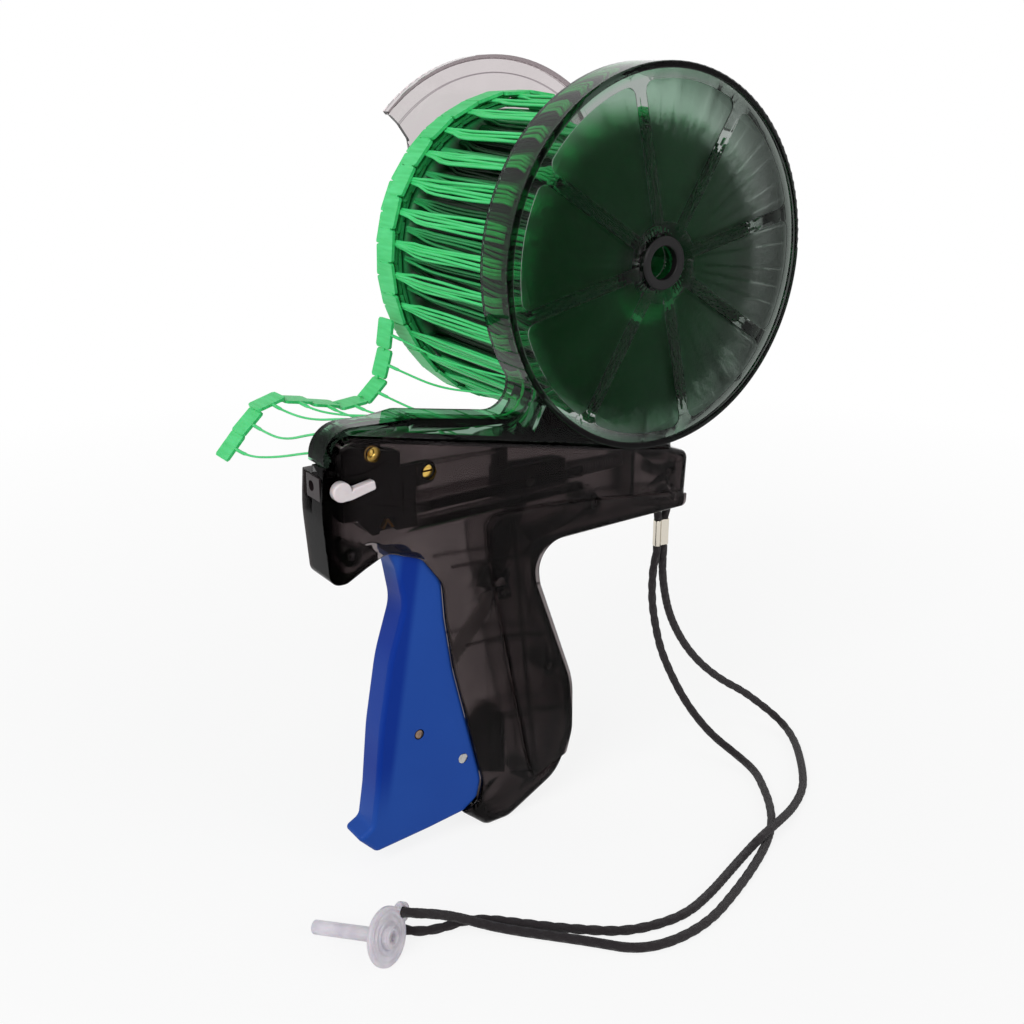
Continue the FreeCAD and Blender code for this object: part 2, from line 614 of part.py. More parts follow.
def make_nose():
    outline = [
        (-60.0, 61.9), (-60.0, 83.2, 1), (-57.0, 84.0), (-41.1, 80.2), (-41.1, 69.9), (-35.9, 69.9),
        (-35.9, 56.5), (-50.9, 56.5), (-56.0, 61.9)]
    half = half_width - side_wall - air_gap
    block = prism(outline, -half, half)
    # ear for the near screw, over the carriage's way
    ear = prism([(-41.3, 69.7), (-41.3, 75.7), (-29.4, 75.7, 2), (-29.4, 69.3, 2), (-38.9, 68.3)], -half, -2.9)
    block = block.fuse(ear)
    block = block.cut(box(rail_nose_x - 1.8, rail_nose_x + 1.2, -1.0, half + 1, 74.6, 90))
    block = block.cut(box(rail_nose_x - 4.7, rail_nose_x + 1.5, 0.4, half + 1, 76.8, 80.0))
    block = block.cut(box(-58.2, -53.6, -0.8, half + 1, 74.6, 76.2))
    block = block.cut(disc_y(wheel_x, wheel_z, wheel_r + 0.7, wheel_y0 - air_gap, wheel_y1 + air_gap))
    block = block.cut(disc_y(wheel_x, wheel_z, axle_r + press_gap, -half - 1, 4.2))
    block = block.cut(disc_y(wheel_x, wheel_z, 2.7, -half - 1, -half + 1.7))
    block = block.cut(Part.makeCylinder(rod_r + 0.35, 30, V(-61, 0, needle_z), V(1, 0, 0)))
    screw_x, screw_z = near_block_screw
    block = block.cut(disc_y(screw_x, screw_z, block_screw_r + press_gap, -half - 1, -half + 2.2))
    block = block.cut(disc_y(screw_x, screw_z, block_screw_head_r + 0.2, -half - 1, -half + 0.5))
    screw_x, screw_z = far_block_screw
    block = block.cut(disc_y(screw_x, screw_z, block_screw_r + press_gap, half - 2.2, half + 1))
    block = block.cut(disc_y(screw_x, screw_z, block_screw_head_r + 0.2, half - 0.5, half + 1))
    # pocket of the index spring
    block = block.cut(box(-48.6, -43.0, -half - 1, -half + 2.2, 56.3, 60.9))
    save("feed_block", block.removeSplitter())

    near_screw = block_screw(*near_block_screw)
    far_screw = mirrored(block_screw(*far_block_screw))
    save("block_screws", Part.makeCompound([near_screw, far_screw]))

    axle = fused([disc_y(wheel_x, wheel_z, axle_r, -half + 0.3, 4.0), disc_y(wheel_x, wheel_z, 2.5, -half, -half + 1.5)])
    save("wheel_axle", axle.cut(disc_y(wheel_x, wheel_z, 1.1, -half - 1, -half + 0.8)))

    clamp = box(nose_x + nose_wall + 0.3, -60.3, -3.4, 3.4, 69.6, 76.6)
    clamp = clamp.fuse(box(nose_x - 0.8, nose_x + nose_wall + 1.0, -5.1, 2.9, 69.7, 76.5)).removeSplitter()
    clamp = clamp.cut(Part.makeCylinder(needle_bore_r, 20, V(-70, 0, needle_z), V(1, 0, 0)))
    clamp = clamp.cut(disc_y(lever_x, lever_z, lever_shaft_r + fit_gap, -6, -2.0))
    save("needle_clamp", clamp)
    save("strip_knife", prism([(-58.0, 74.7), (-53.8, 74.7), (-53.8, 76.0), (-57.2, 75.5)], -0.6, half - 0.2))

    spring = [(-47.6, 57.7), (-46.8, 57.7), (-45.6, 59.7), (-44.4, 57.7), (-43.6, 57.7), (-45.3, 60.5), (-45.9, 60.5)]
    save("index_spring", prism(spring, -half + 0.3, -half + 1.9))

    teeth = []
    for i in range(wheel_teeth):
        tip = 2 * math.pi * i / wheel_teeth
        root = tip + math.pi / wheel_teeth
        root_r = wheel_r - tooth_depth
        teeth.append((wheel_x + wheel_r * math.cos(tip), wheel_z + wheel_r * math.sin(tip)))
        teeth.append((wheel_x + root_r * math.cos(root), wheel_z + root_r * math.sin(root)))
    wheel = prism(teeth, wheel_y0, wheel_y1)
    save("feed_wheel", wheel.cut(disc_y(wheel_x, wheel_z, axle_r + fit_gap, wheel_y0 - 1, wheel_y1 + 1)))


def make_lever():
    side = -half_width - air_gap
    head = disc_y(lever_x, lever_z, lever_head_r, side - lever_t, side)
    tip_x = lever_x + lever_len
    foot = lever_z - lever_head_r + 0.1
    arm = prism([(lever_x, foot), (lever_x + 2.5, foot), (tip_x, lever_z - 0.9, 0.6),
                 (tip_x - 0.4, lever_z - 0.9 + lever_width, 0.6), (lever_x + 3.6, lever_z + 0.6, 1.5)],
                side - lever_t, side)
    lever = fused([head, arm])
    lever = lever.makeFillet(0.5, edges_on_plane(lever, side - lever_t))
    shaft = disc_y(lever_x, lever_z, lever_shaft_r, side - 0.5, -2.0 - air_gap)
    save("needle_lock_lever", lever.fuse(shaft).removeSplitter())


def make_trigger():
    front = [
        (-60.0, -44.2, 1.2), (-54.9, -41.6, 3), (-53.0, -30.0, 40), (-50.8, -9.0, 80), (-46.6, 14.0, 60),
        (-41.0, 31.0, 14), (-43.2, 44.0, 10)]
    outline = [(-46.0, 50.0)] + [
        (-34.6, 47.4, 6), (-27.4, 36.4, 9), (-26.6, 24.0, 12), (-24.0, 6.0, 60), (-13.6, -38.0, 7),
        (-15.2, -44.6, 3.5), (-20.6, -48.2, 4), (-34.0, -49.7), (-53.6, -51.2, 2.5)] + front
    body = prism(outline, -trigger_half, trigger_half)
    rims = edges_on_plane(body, -trigger_half) + edges_on_plane(body, trigger_half)
    body = body.makeFillet(trigger_edge_round, rims)
    room = trigger_half - trigger_wall
    hollow = [
        (-52.4, -46.6, 2), (-51.8, -41.6, 3), (-50.2, -30.0, 40), (-48.0, -9.0, 80), (-43.8, 14.0, 60),
        (-38.2, 31.0, 14), (-39.4, 44.0, 10), (-41.0, 54.0), (-6.0, 54.0), (-6.0, -43.6), (-21.0, -44.6),
        (-34.0, -46.6)]
    body = body.cut(prism(hollow, -room, room))
    body = body.cut(disc_y(pivot_x, pivot_z, pivot_pin_r + fit_gap, -trigger_half - 1, trigger_half + 1))
    body = body.cut(disc_y(drive_pin_x, drive_pin_z, drive_pin_r + press_gap, -trigger_half - 1, trigger_half + 1))
    save("trigger", body.removeSplitter())
    pin_half = trigger_half - 0.1
    save("trigger_pivot_pin", disc_y(pivot_x, pivot_z, pivot_pin_r, -pin_half, pin_half))
    save("trigger_drive_pin", disc_y(drive_pin_x, drive_pin_z, drive_pin_r, -pin_half, pin_half))


def make_linkage():
    rest = math.radians(crank_half_swing)
    toe_rest = math.radians(toe_mid_deg - crank_half_swing)
    toe_x = crank_x + toe_arm * math.cos(toe_rest)
    toe_z = crank_z + toe_arm * math.sin(toe_rest)
    reach = (carriage_pin_z - crank_z) / math.cos(rest)
    pin_x = crank_x + reach * math.sin(rest)
    print("toe pin", round(toe_x, 3), round(toe_z, 3), "carriage pin", round(pin_x, 3))

    def along(distance, aside):
        """Point on the crank's arm, which leans back at rest."""
        x = crank_x + distance * math.sin(rest) + aside * math.cos(rest)
        z = crank_z + distance * math.cos(rest) - aside * math.sin(rest)
        return (x, z)

    slot_half = carriage_pin_r + crank_slot_gap
    slot_from = carriage_pin_z - crank_z - slot_half - 0.6
    slot_to = reach + slot_half + 0.6
    arm_half = slot_half + 1.5
    tip = slot_to + 1.6
    arm = prism([along(0, -arm_half), along(tip, -arm_half) + (2,), along(tip, arm_half) + (2,), along(0, arm_half)],
                -crank_half, crank_half)
    slot = prism([along(slot_from, -slot_half) + (1.9,), along(slot_to, -slot_half) + (1.9,),
                  along(slot_to, slot_half) + (1.9,), along(slot_from, slot_half) + (1.9,)],
                 -crank_half - 1, crank_half + 1)
    hub = disc_y(crank_x, crank_z, crank_hub_r, -crank_half, crank_half)
    toe = disc_y(toe_x, toe_z, 2.8, -crank_half, crank_half)
    toe_web_x = math.sin(toe_rest) * 2.6
    toe_web_z = math.cos(toe_rest) * 2.6
    toe_web = prism([(crank_x - toe_web_x, crank_z + toe_web_z), (toe_x - toe_web_x, toe_z + toe_web_z),
                     (toe_x + toe_web_x, toe_z - toe_web_z), (crank_x + toe_web_x, crank_z - toe_web_z)],
                    -crank_half, crank_half)
    crank = fused([arm, hub, toe, toe_web]).cut(slot)
    crank = crank.cut(disc_y(crank_x, crank_z, crank_pin_r + fit_gap, -9, 9))
    crank = crank.cut(disc_y(toe_x, toe_z, toe_pin_r + press_gap, -9, 9))
    save("drive_crank", crank.removeSplitter())
    crank_pin_half = half_width - 0.9
    save("crank_pin", disc_y(crank_x, crank_z, crank_pin_r, -crank_pin_half, crank_pin_half))
    save("toe_pin", disc_y(toe_x, toe_z, toe_pin_r, -crank_half, link_y0 + link_t))

    dx, dz = toe_x - drive_pin_x, toe_z - drive_pin_z
    size = math.hypot(dx, dz)
    nx, nz = -dz / size * link_width / 2, dx / size * link_width / 2
    y1 = link_y0 + link_t
    link = fused([
        disc_y(drive_pin_x, drive_pin_z, link_eye_r, link_y0, y1),
        disc_y(toe_x, toe_z, toe_pin_r + toe_eye_gap + 1.4, link_y0, y1),
        prism([(drive_pin_x + nx, drive_pin_z + nz), (toe_x + nx, toe_z + nz), (toe_x - nx, toe_z - nz),
               (drive_pin_x - nx, drive_pin_z - nz)], link_y0, y1)])
    link = link.cut(disc_y(drive_pin_x, drive_pin_z, drive_pin_r + fit_gap, 0, 9))
    link = link.cut(disc_y(toe_x, toe_z, toe_pin_r + toe_eye_gap, 0, 9))
    save("push_link", link.removeSplitter())

    carriage = box(carriage_x0, carriage_x1, -carriage_half, carriage_half, carriage_z0, carriage_z1)
    carriage = carriage.fuse(box(carriage_x0, carriage_x0 + 3.0, -2.4, 2.4, carriage_z1, needle_z + 1.1))
    slot_side = crank_half + 0.4
    carriage = carriage.cut(box(pin_x - 7.4, pin_x + 8.4, -slot_side, slot_side, 50, 70))
    carriage = carriage.cut(disc_y(pin_x, carriage_pin_z, carriage_pin_r + press_gap, -9, 9))
    carriage = carriage.cut(Part.makeCylinder(rod_r + press_gap, 9, V(carriage_x0 - 1, 0, needle_z), V(1, 0, 0)))
    save("slide_carriage", carriage.removeSplitter())
    save("carriage_pin", disc_y(pin_x, carriage_pin_z, carriage_pin_r, -carriage_half, carriage_half))
    save("push_rod", bar((rod_tip_x, 0, needle_z), (carriage_x0 + 3.0, 0, needle_z), rod_r))

    spring_x0 = carriage_x1 + air_gap
    spring_len = spring_anchor_x - air_gap - spring_x0
    coil = Part.makeCylinder(spring_r, spring_len, V(spring_x0, 0, spring_z), V(1, 0, 0))
    coil = coil.cut(Part.makeCylinder(spring_r - spring_wire, spring_len, V(spring_x0, 0, spring_z), V(1, 0, 0)))
    save("return_spring", coil)


# ------------------------------------------------------------------------ wrist strap
def make_strap():
    foot = ferrule_top - ferrule_len
    half_pitch = cord_d / 2 + 0.05
    ferrule = box(ferrule_x - ferrule_w / 2, ferrule_x + ferrule_w / 2, -ferrule_t / 2, ferrule_t / 2, foot, ferrule_top)
    upright = [e for e in ferrule.Edges if e.BoundBox.ZLength > ferrule_len - 1]
    ferrule = ferrule.makeFillet(ferrule_t / 2 - 0.05, upright)
    save("strap_ferrule", ferrule)

    loop_half = 2.6
    loop_top = strap_pin_z + strap_pin_r + cord_d / 2 + 0.3
    loop = [
        (ferrule_x - half_pitch, ferrule_top + 0.02), (ferrule_x - half_pitch, ferrule_top + 1.3),
        (ferrule_x - loop_half, ferrule_top + 4.6),
        (ferrule_x - loop_half + 0.05, loop_top), (ferrule_x + loop_half - 0.05, loop_top),
        (ferrule_x + loop_half, ferrule_top + 4.6), (ferrule_x + half_pitch, ferrule_top + 1.3),
        (ferrule_x + half_pitch, ferrule_top + 0.02)]
    path, radii = cord_path([(x, 0, z) for x, z in loop])
    print("strap loop radii", radii)
    save("strap_loop", swept_round(path, cord_d / 2))

    floor = grip_foot + cord_d / 2 + 0.05
    over = floor + cord_d + 0.6
    route = [
        (ferrule_x - half_pitch, 0.0, foot - 0.02), (ferrule_x - half_pitch, 0.0, foot - 3.0), (62.9, -0.1, 17.4), (62.5, -0.5, 6.8), (63.8, -1.1, -2.6),
        (65.9, -2.4, -13.4), (69.0, -4.6, -22.7), (72.4, -8.0, -32.1), (75.6, -12.6, -39.7),
        (79.7, -18.0, -46.8), (84.4, -25.6, -52.3), (84.6, -35.4, floor), (79.2, -44.6, floor),
        (73.2, -53.6, floor), (65.0, -62.6, floor), (54.6, -69.8, floor), (42.0, -76.2, floor),
        (28.5, -81.9, floor), (13.6, -87.3, floor), (-1.2, -88.2, floor), (-13.0, -84.6, floor),
        (-21.0, -75.0, floor), (-29.3, -66.0, floor), (-36.9, -57.8, floor), (-43.2, -51.6, -53.6),
        (-50.0, -47.6, -50.4), (-57.4, -46.6, -46.6), (-64.3, -45.1, -44.2), (-67.5, -38.6, -46.0),
        (-66.2, -38.4, -52.8), (-60.4, -42.2, floor), (-53.4, -44.6, floor), (-46.6, -45.2, floor),
        (-40.4, -49.0, floor), (-33.6, -56.0, floor), (-26.6, -63.0, floor), (-19.6, -69.4, floor),
        (-11.4, -76.0, floor), (-1.4, -79.6, floor), (10.0, -80.9, floor), (22.8, -77.6, floor),
        (35.6, -72.9, floor), (46.6, -68.9, floor), (53.5, -68.8, over), (64.7, -66.0, over),
        (77.8, -60.1, floor + 0.5), (89.6, -53.6, floor), (97.6, -46.2, floor), (105.4, -37.4, floor),
        (112.0, -28.8, floor), (115.6, -21.0, -53.5), (114.4, -15.6, -50.2), (109.3, -11.0, -44.8),
        (103.2, -8.6, -39.3), (94.1, -6.6, -33.0), (85.5, -4.6, -25.2), (78.9, -3.0, -17.1),
        (74.0, -1.7, -8.7), (70.6, -0.8, -0.6), (68.5, -0.3, 8.0), (67.3, -0.1, 16.3),
        (ferrule_x + half_pitch, 0.0, foot - 3.0), (ferrule_x + half_pitch, 0.0, foot - 0.02)]
    path, radii = cord_path(route)
    print("strap cord radii", radii)
    cord = swept_round(path, cord_d / 2)
    print("strap cord length", round(path.Length, 1), "volume ratio",
          round(cord.Volume / (path.Length * math.pi * cord_d ** 2 / 4), 4))
    save("strap_cord", cord)


def make_guard():
    """Disc with a hollow stem that covers the needle, and an eye for the strap on its rim."""
    axis = V(*guard_axis).normalize()
    hub = V(guard_x, guard_y, guard_z)
    guard = Part.makeCylinder(guard_r, guard_t, hub, axis)
    guard = guard.makeFillet(0.6, [e for e in guard.Edges if abs(e.Length - 2 * math.pi * guard_r) < 0.01])
    guard = guard.fuse(Part.makeCylinder(guard_stem_r, guard_stem_len, hub, axis))
    guard = guard.fuse(Part.makeCylinder(3.4, 2.2, hub - axis * 1.6, axis))
    aside = axis.cross(V(0, 0, 1)).normalize()
    if aside.x < 0:
        aside = aside * -1
    upward = V(0, 0, 1) - axis * axis.z
    upward.normalize()
    turn = math.radians(eye_turn)
    eye_at = hub + (aside * math.cos(turn) + upward * math.sin(turn)) * eye_reach
    print("guard eye", eye_at + axis * (guard_t / 2))
    guard = guard.fuse(Part.makeCylinder(eye_r, guard_t, eye_at, axis))
    guard = guard.cut(Part.makeCylinder(eye_hole_r, guard_t + 2, eye_at - axis, axis))
    guard = guard.cut(Part.makeCylinder(guard_bore_r, guard_bore_len, hub - axis * 2.0, axis))
    save("needle_guard", guard.removeSplitter())


make_shells()
make_reel_holder()
make_roll()
make_retainer()
make_strip()
make_nose()
make_lever()
make_trigger()
make_linkage()
make_strap()
make_guard()
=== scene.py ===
import math
import bpy
import bmesh
from mathutils import Matrix, Vector


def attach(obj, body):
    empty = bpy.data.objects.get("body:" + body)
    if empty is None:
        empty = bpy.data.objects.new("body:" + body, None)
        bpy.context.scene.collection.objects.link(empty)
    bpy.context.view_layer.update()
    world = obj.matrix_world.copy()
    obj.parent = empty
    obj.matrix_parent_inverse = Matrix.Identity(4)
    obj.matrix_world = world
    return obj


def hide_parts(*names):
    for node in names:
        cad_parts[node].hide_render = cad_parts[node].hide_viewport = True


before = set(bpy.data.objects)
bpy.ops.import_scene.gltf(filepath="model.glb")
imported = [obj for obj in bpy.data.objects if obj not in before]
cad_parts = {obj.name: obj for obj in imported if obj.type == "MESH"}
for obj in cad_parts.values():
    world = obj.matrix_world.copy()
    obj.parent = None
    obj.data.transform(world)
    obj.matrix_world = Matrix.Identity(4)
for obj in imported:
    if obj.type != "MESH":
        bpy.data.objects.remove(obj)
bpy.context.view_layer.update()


# --- camera, light, floor ---
# The view is from the near side, in front of the nose and a little above it.
# One large soft lamp hangs over the nose and a weaker one stands by the tail, inside a
# white room; the floor is matt white board.
def add(tree, kind, inputs=(), **settings):
    """One node with its settings and links.

    kind is the node's type, less "ShaderNode", with its operation or kind of data after a
    space.  inputs are values in the order of the sockets, or a dict by socket; a node
    stands for its first live output.
    """
    kind, _, choice = kind.partition(" ")
    node = tree.nodes.new(kind if "Node" in kind else "ShaderNode" + kind)
    if choice:
        setattr(node, "operation" if hasattr(node, "operation") else "data_type", choice)
    for name, value in settings.items():
        setattr(node, name, value)
    for key, value in inputs.items() if isinstance(inputs, dict) else enumerate(inputs):
        if isinstance(value, bpy.types.Node):
            value = next(output for output in value.outputs if output.enabled)
        if isinstance(value, bpy.types.NodeSocket):
            tree.links.new(value, node.inputs[key])
        else:
            node.inputs[key].default_value = value
    return node


def hex_colour(text):
    """sRGB hex as linear red, green, blue, alpha."""
    parts = [int(text[i:i + 2], 16) / 255 for i in (1, 3, 5)]
    return [p / 12.92 if p <= 0.04045 else ((p + 0.055) / 1.055) ** 2.4 for p in parts] + [1.0]


def new_finish(name):
    """Empty material, its node tree and the Object coordinates in it."""
    finish = bpy.data.materials.new(name)
    finish.use_nodes = True
    tree = finish.node_tree
    tree.nodes.clear()
    return finish, tree, add(tree, "TexCoord").outputs["Object"]


scene = bpy.context.scene
scene.view_settings.view_transform = "Standard"
camera_down, camera_turn = math.radians(19.755), math.radians(-34.861)
camera = bpy.data.objects.new("camera", bpy.data.cameras.new("camera"))
camera.data.lens = 43.54
camera.data.sensor_width = 36
camera.data.clip_start = 0.01
camera.location = (-0.20971, -0.30430, 0.18439)
camera.rotation_euler = (math.pi / 2 - camera_down, 0, camera_turn)
scene.collection.objects.link(camera)
scene.camera = camera

lamp_size = 0.9
lit_point = Vector((0, 0.02, 0.06))
for name, place, watts, mirrored in (("key_lamp", (-1.15, -0.55, 0.95), 14.0, True),
                                     ("tail_lamp", (0.75, -1.25, 0.55), 5.0, False)):
    lamp = bpy.data.objects.new(name, bpy.data.lights.new(name, "AREA"))
    lamp.data.shape = "SQUARE"
    lamp.data.size = lamp_size
    lamp.data.energy = watts
    lamp.location = place
    lamp.rotation_euler = (lit_point - Vector(place)).to_track_quat("-Z", "Y").to_euler()
    lamp.visible_camera = False
    lamp.visible_glossy = mirrored
    scene.collection.objects.link(lamp)


def looked_at(tree):
    """1 for what the camera sees directly, through clear plastic or in gloss, else 0."""
    ray = add(tree, "LightPath").outputs
    seen = add(tree, "Math MAXIMUM", (ray["Is Camera Ray"], ray["Is Transmission Ray"]))
    return add(tree, "Math MAXIMUM", (seen, ray["Is Glossy Ray"]))


room = bpy.data.worlds.new("white room")
scene.world = room
room.use_nodes = True
tree = room.node_tree
tree.nodes.clear()
white = hex_colour("#ffffff")
lit = add(tree, "Background", {"Color": white, "Strength": 0.5})
shown = add(tree, "Background", {"Color": white, "Strength": 1.0})
mix = add(tree, "MixShader", (looked_at(tree), lit, shown))
add(tree, "OutputWorld", (mix,))

floor_z = -0.0561
board = bpy.data.meshes.new("floor")
board.from_pydata([(x, y, floor_z) for x, y in ((-6, -6), (6, -6), (6, 6), (-6, 6))], [],
                  [(0, 1, 2, 3)])
floor = bpy.data.objects.new("floor", board)
scene.collection.objects.link(floor)
board_paint, tree, place = new_finish("matt white board")
# under the object the board keeps its shadow; away from it, it turns plain white
reach = add(tree, "VectorMath LENGTH", (place,))
fade = add(tree, "MapRange", (reach, 0.15, 0.6, 0.84, 1.0))
share = add(tree, "Math MULTIPLY", (looked_at(tree), fade))
paint = add(tree, "BsdfDiffuse", {"Color": hex_colour("#e7e7e7")})
glow = add(tree, "Emission", {"Color": white, "Strength": 1.0})
mix = add(tree, "MixShader", (share, paint, glow))
add(tree, "OutputMaterial", (mix,))
board.materials.append(board_paint)


# --- wrist strap ---
# A limp round braid of eight black polyester strands.  It leaves the ferrule, lies on
# the floor, threads the needle guard's eye and comes back up into the ferrule.
strap_d = 0.0029
braid_pitch = 0.0048
low = -54.5     # height in millimetres of the cord's middle where it lies on the floor
strap_route = [
    (64.5, 0.0, 25.98), (64.5, 0.0, 23.0), (62.9, -0.1, 17.4), (62.5, -0.5, 6.8),
    (63.8, -1.1, -2.6), (65.9, -2.4, -13.4), (69.0, -4.6, -22.7), (72.4, -8.0, -32.1),
    (75.6, -12.6, -39.7), (79.7, -18.0, -46.8), (84.4, -25.6, -52.3), (84.6, -35.4, low),
    (79.2, -44.6, low), (73.2, -53.6, low), (65.0, -62.6, low), (54.6, -69.8, low),
    (42.0, -76.2, low), (28.5, -81.9, low), (13.6, -87.3, low), (-1.2, -88.2, low),
    (-13.0, -84.6, low), (-21.0, -75.0, low), (-29.3, -66.0, low), (-36.9, -57.8, low),
    (-43.2, -51.6, -53.6), (-50.0, -47.6, -50.4), (-57.4, -46.6, -46.6), (-64.3, -45.1, -44.2),
    (-67.5, -38.6, -46.0), (-66.2, -38.4, -52.8), (-60.4, -42.2, low), (-53.4, -44.6, low),
    (-46.6, -45.2, low), (-40.4, -49.0, low), (-33.6, -56.0, low), (-26.6, -63.0, low),
    (-19.6, -69.4, low), (-11.4, -76.0, low), (-1.4, -79.6, low), (10.0, -80.9, low),
    (22.8, -77.6, low), (35.6, -72.9, low), (46.6, -68.9, low), (53.5, -68.8, -51.0),
    (64.7, -66.0, -51.0), (77.8, -60.1, -54.0), (89.6, -53.6, low), (97.6, -46.2, low),
    (105.4, -37.4, low), (112.0, -28.8, low), (115.6, -21.0, -53.5), (114.4, -15.6, -50.2),
    (109.3, -11.0, -44.8), (103.2, -8.6, -39.3), (94.1, -6.6, -33.0), (85.5, -4.6, -25.2),
    (78.9, -3.0, -17.1), (74.0, -1.7, -8.7), (70.6, -0.8, -0.6), (68.5, -0.3, 8.0),
    (67.3, -0.1, 16.3), (67.5, 0.0, 23.0), (67.5, 0.0, 25.98)]


def smooth_line(name, route, resolution):
    """Points along one smooth NURBS line whose control points are given in millimetres."""
    line = bpy.data.curves.new(name, "CURVE")
    line.dimensions = "3D"
    spline = line.splines.new("NURBS")
    spline.points.add(len(route) - 1)
    for point, (x, y, z) in zip(spline.points, route):
        point.co = (x / 1000, y / 1000, z / 1000, 1)
    spline.order_u = 3
    spline.use_endpoint_u = True
    spline.resolution_u = resolution
    carrier = bpy.data.objects.new(name, line)
    scene.collection.objects.link(carrier)
    wire = bpy.data.meshes.new_from_object(carrier)
    points = [v.co.copy() for v in wire.vertices]
    bpy.data.objects.remove(carrier)
    bpy.data.meshes.remove(wire)
    return points


def heading(points, i):
    """Direction of a line of points at point i."""
    return (points[min(i + 1, len(points) - 1)] - points[max(i - 1, 0)]).normalized()


def skinned(form, rings, smooth=False):
    """Faces from each ring of points to the next, with caps on the first and the last."""
    faces = []
    for here, there in zip(rings, rings[1:]):
        for k in range(len(here)):
            n = (k + 1) % len(here)
            faces.append(form.faces.new((here[k], there[k], there[n], here[n])))
            faces[-1].smooth = smooth
    form.faces.new(rings[0])
    form.faces.new(rings[-1][::-1])
    return faces


def piece_from(name, form):
    """Piece of the scene made from a closed form, with its faces outward."""
    bmesh.ops.recalc_face_normals(form, faces=form.faces)
    mesh = bpy.data.meshes.new(name)
    form.to_mesh(mesh)
    form.free()
    piece = bpy.data.objects.new(name, mesh)
    scene.collection.objects.link(piece)
    return piece


def swept_tube(name, points, width, sides):
    """Closed tube along points; width(run, angle) gives its radius, run being the length so far."""
    form = bmesh.new()
    uv = form.loops.layers.uv.new("UVMap")
    run = 0.0
    along = (points[1] - points[0]).normalized()
    aside = along.orthogonal().normalized()
    rings = []
    runs = []
    for i, point in enumerate(points):
        ahead = heading(points, i)
        aside = along.rotation_difference(ahead) @ aside
        aside = (aside - ahead * aside.dot(ahead)).normalized()
        along = ahead
        other = along.cross(aside)
        if i:
            run += (point - points[i - 1]).length
        ring = []
        for k in range(sides):
            a = 2 * math.pi * k / sides
            out = aside * math.cos(a) + other * math.sin(a)
            ring.append(form.verts.new(point + out * width(run, a)))
        rings.append(ring)
        runs.append(run * 100)
    for j, face in enumerate(skinned(form, rings, smooth=True)):
        i, k = divmod(j, sides)
        corners = (runs[i], k), (runs[i + 1], k), (runs[i + 1], k + 1), (runs[i], k + 1)
        for loop, (u, v) in zip(face.loops, corners):
            loop[uv].uv = (u, v / sides)
    return piece_from(name, form)


def braid_radius(run, angle):
    """Eight strands pass over and under each other twice in each pitch."""
    twist = run * 2 * math.pi / braid_pitch
    over = max(math.cos(4 * angle + twist), math.cos(4 * angle - twist + math.pi / 4))
    return strap_d / 2 * (0.9 + 0.1 * over)


def mottled(tree, place, scale, detail, *colours):
    """Fine noise, and two hex colours mixed by it."""
    cloud = add(tree, "TexNoise", {"Vector": place, "Scale": scale, "Detail": detail})
    ends = dict(zip("AB", map(hex_colour, colours)))
    return cloud, add(tree, "Mix RGBA", {0: cloud, **ends})


# black polyester braid: hardly any gloss, a brown cast where light grazes the yarn
braid, tree, place = new_finish("black polyester braid")
unrolled = add(tree, "TexCoord").outputs["UV"]
strands = add(tree, "Mapping", {"Vector": unrolled, "Rotation": (0, 0, 0.6), "Scale": (22, 9, 1)})
yarn = add(tree, "TexWave", {"Vector": strands, "Scale": 1.0, "Distortion": 1.2, "Detail": 2.0})
fibre, shade = mottled(tree, place, 2600.0, 3.0, "#0c090c", "#2b2427")
bump = add(tree, "Bump", {"Strength": 0.6, "Distance": 0.0002, "Height": yarn.outputs["Fac"]})
skin = add(tree, "BsdfPrincipled", {
    "Base Color": shade, "Roughness": 0.72, "Sheen Weight": 0.12, "Specular IOR Level": 0.25,
    "Normal": bump})
add(tree, "OutputMaterial", (skin,))

strap_line = smooth_line("strap route", strap_route, 20)
strap = swept_tube("wrist_strap", strap_line, braid_radius, 20)
strap.data.materials.append(braid)
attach(strap, "body")
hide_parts("strap_cord")

# The same cord doubled through the tail: a short loop over the strap's pin.
loop_route = [(64.5, 0, 35.62), (64.5, 0, 36.9), (63.4, 0, 40.2), (63.45, 0, 47.65),
              (68.55, 0, 47.65), (68.6, 0, 40.2), (67.5, 0, 36.9), (67.5, 0, 35.62)]
loop = swept_tube("strap_loop_braid", smooth_line("loop route", loop_route, 16), braid_radius, 20)
loop.data.materials.append(braid)
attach(loop, "body")
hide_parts("strap_loop")


# --- ferrule and guard ---
# Nickel plated sleeve, pressed between the strap's two legs so that it has two lobes
# and a seam between them.
ferrule_x, ferrule_foot, ferrule_height = 0.066, 0.026, 0.0096
lobe_apart, lobe_r = 0.0013, 0.0018
ferrule_rows = ((0.0, 0.93), (0.02, 0.98), (0.06, 1.0), (0.45, 0.985),
                (0.55, 0.985), (0.94, 1.0), (0.98, 0.98), (1.0, 0.93))
form = bmesh.new()
rings = []
for share, swell in ferrule_rows:
    ring = []
    for k in range(48):
        a = 2 * math.pi * k / 48
        side = math.cos(a)
        pinch = 1 - 0.42 * math.exp(-(side / 0.16) ** 2)
        x = (math.copysign(lobe_apart, side) + lobe_r * side) * swell if abs(side) > 0.02 else 0.0
        y = lobe_r * math.sin(a) * pinch * swell
        ring.append(form.verts.new((ferrule_x + x, y, ferrule_foot + ferrule_height * share)))
    rings.append(ring)
skinned(form, rings, smooth=True)
ferrule = piece_from("ferrule", form)

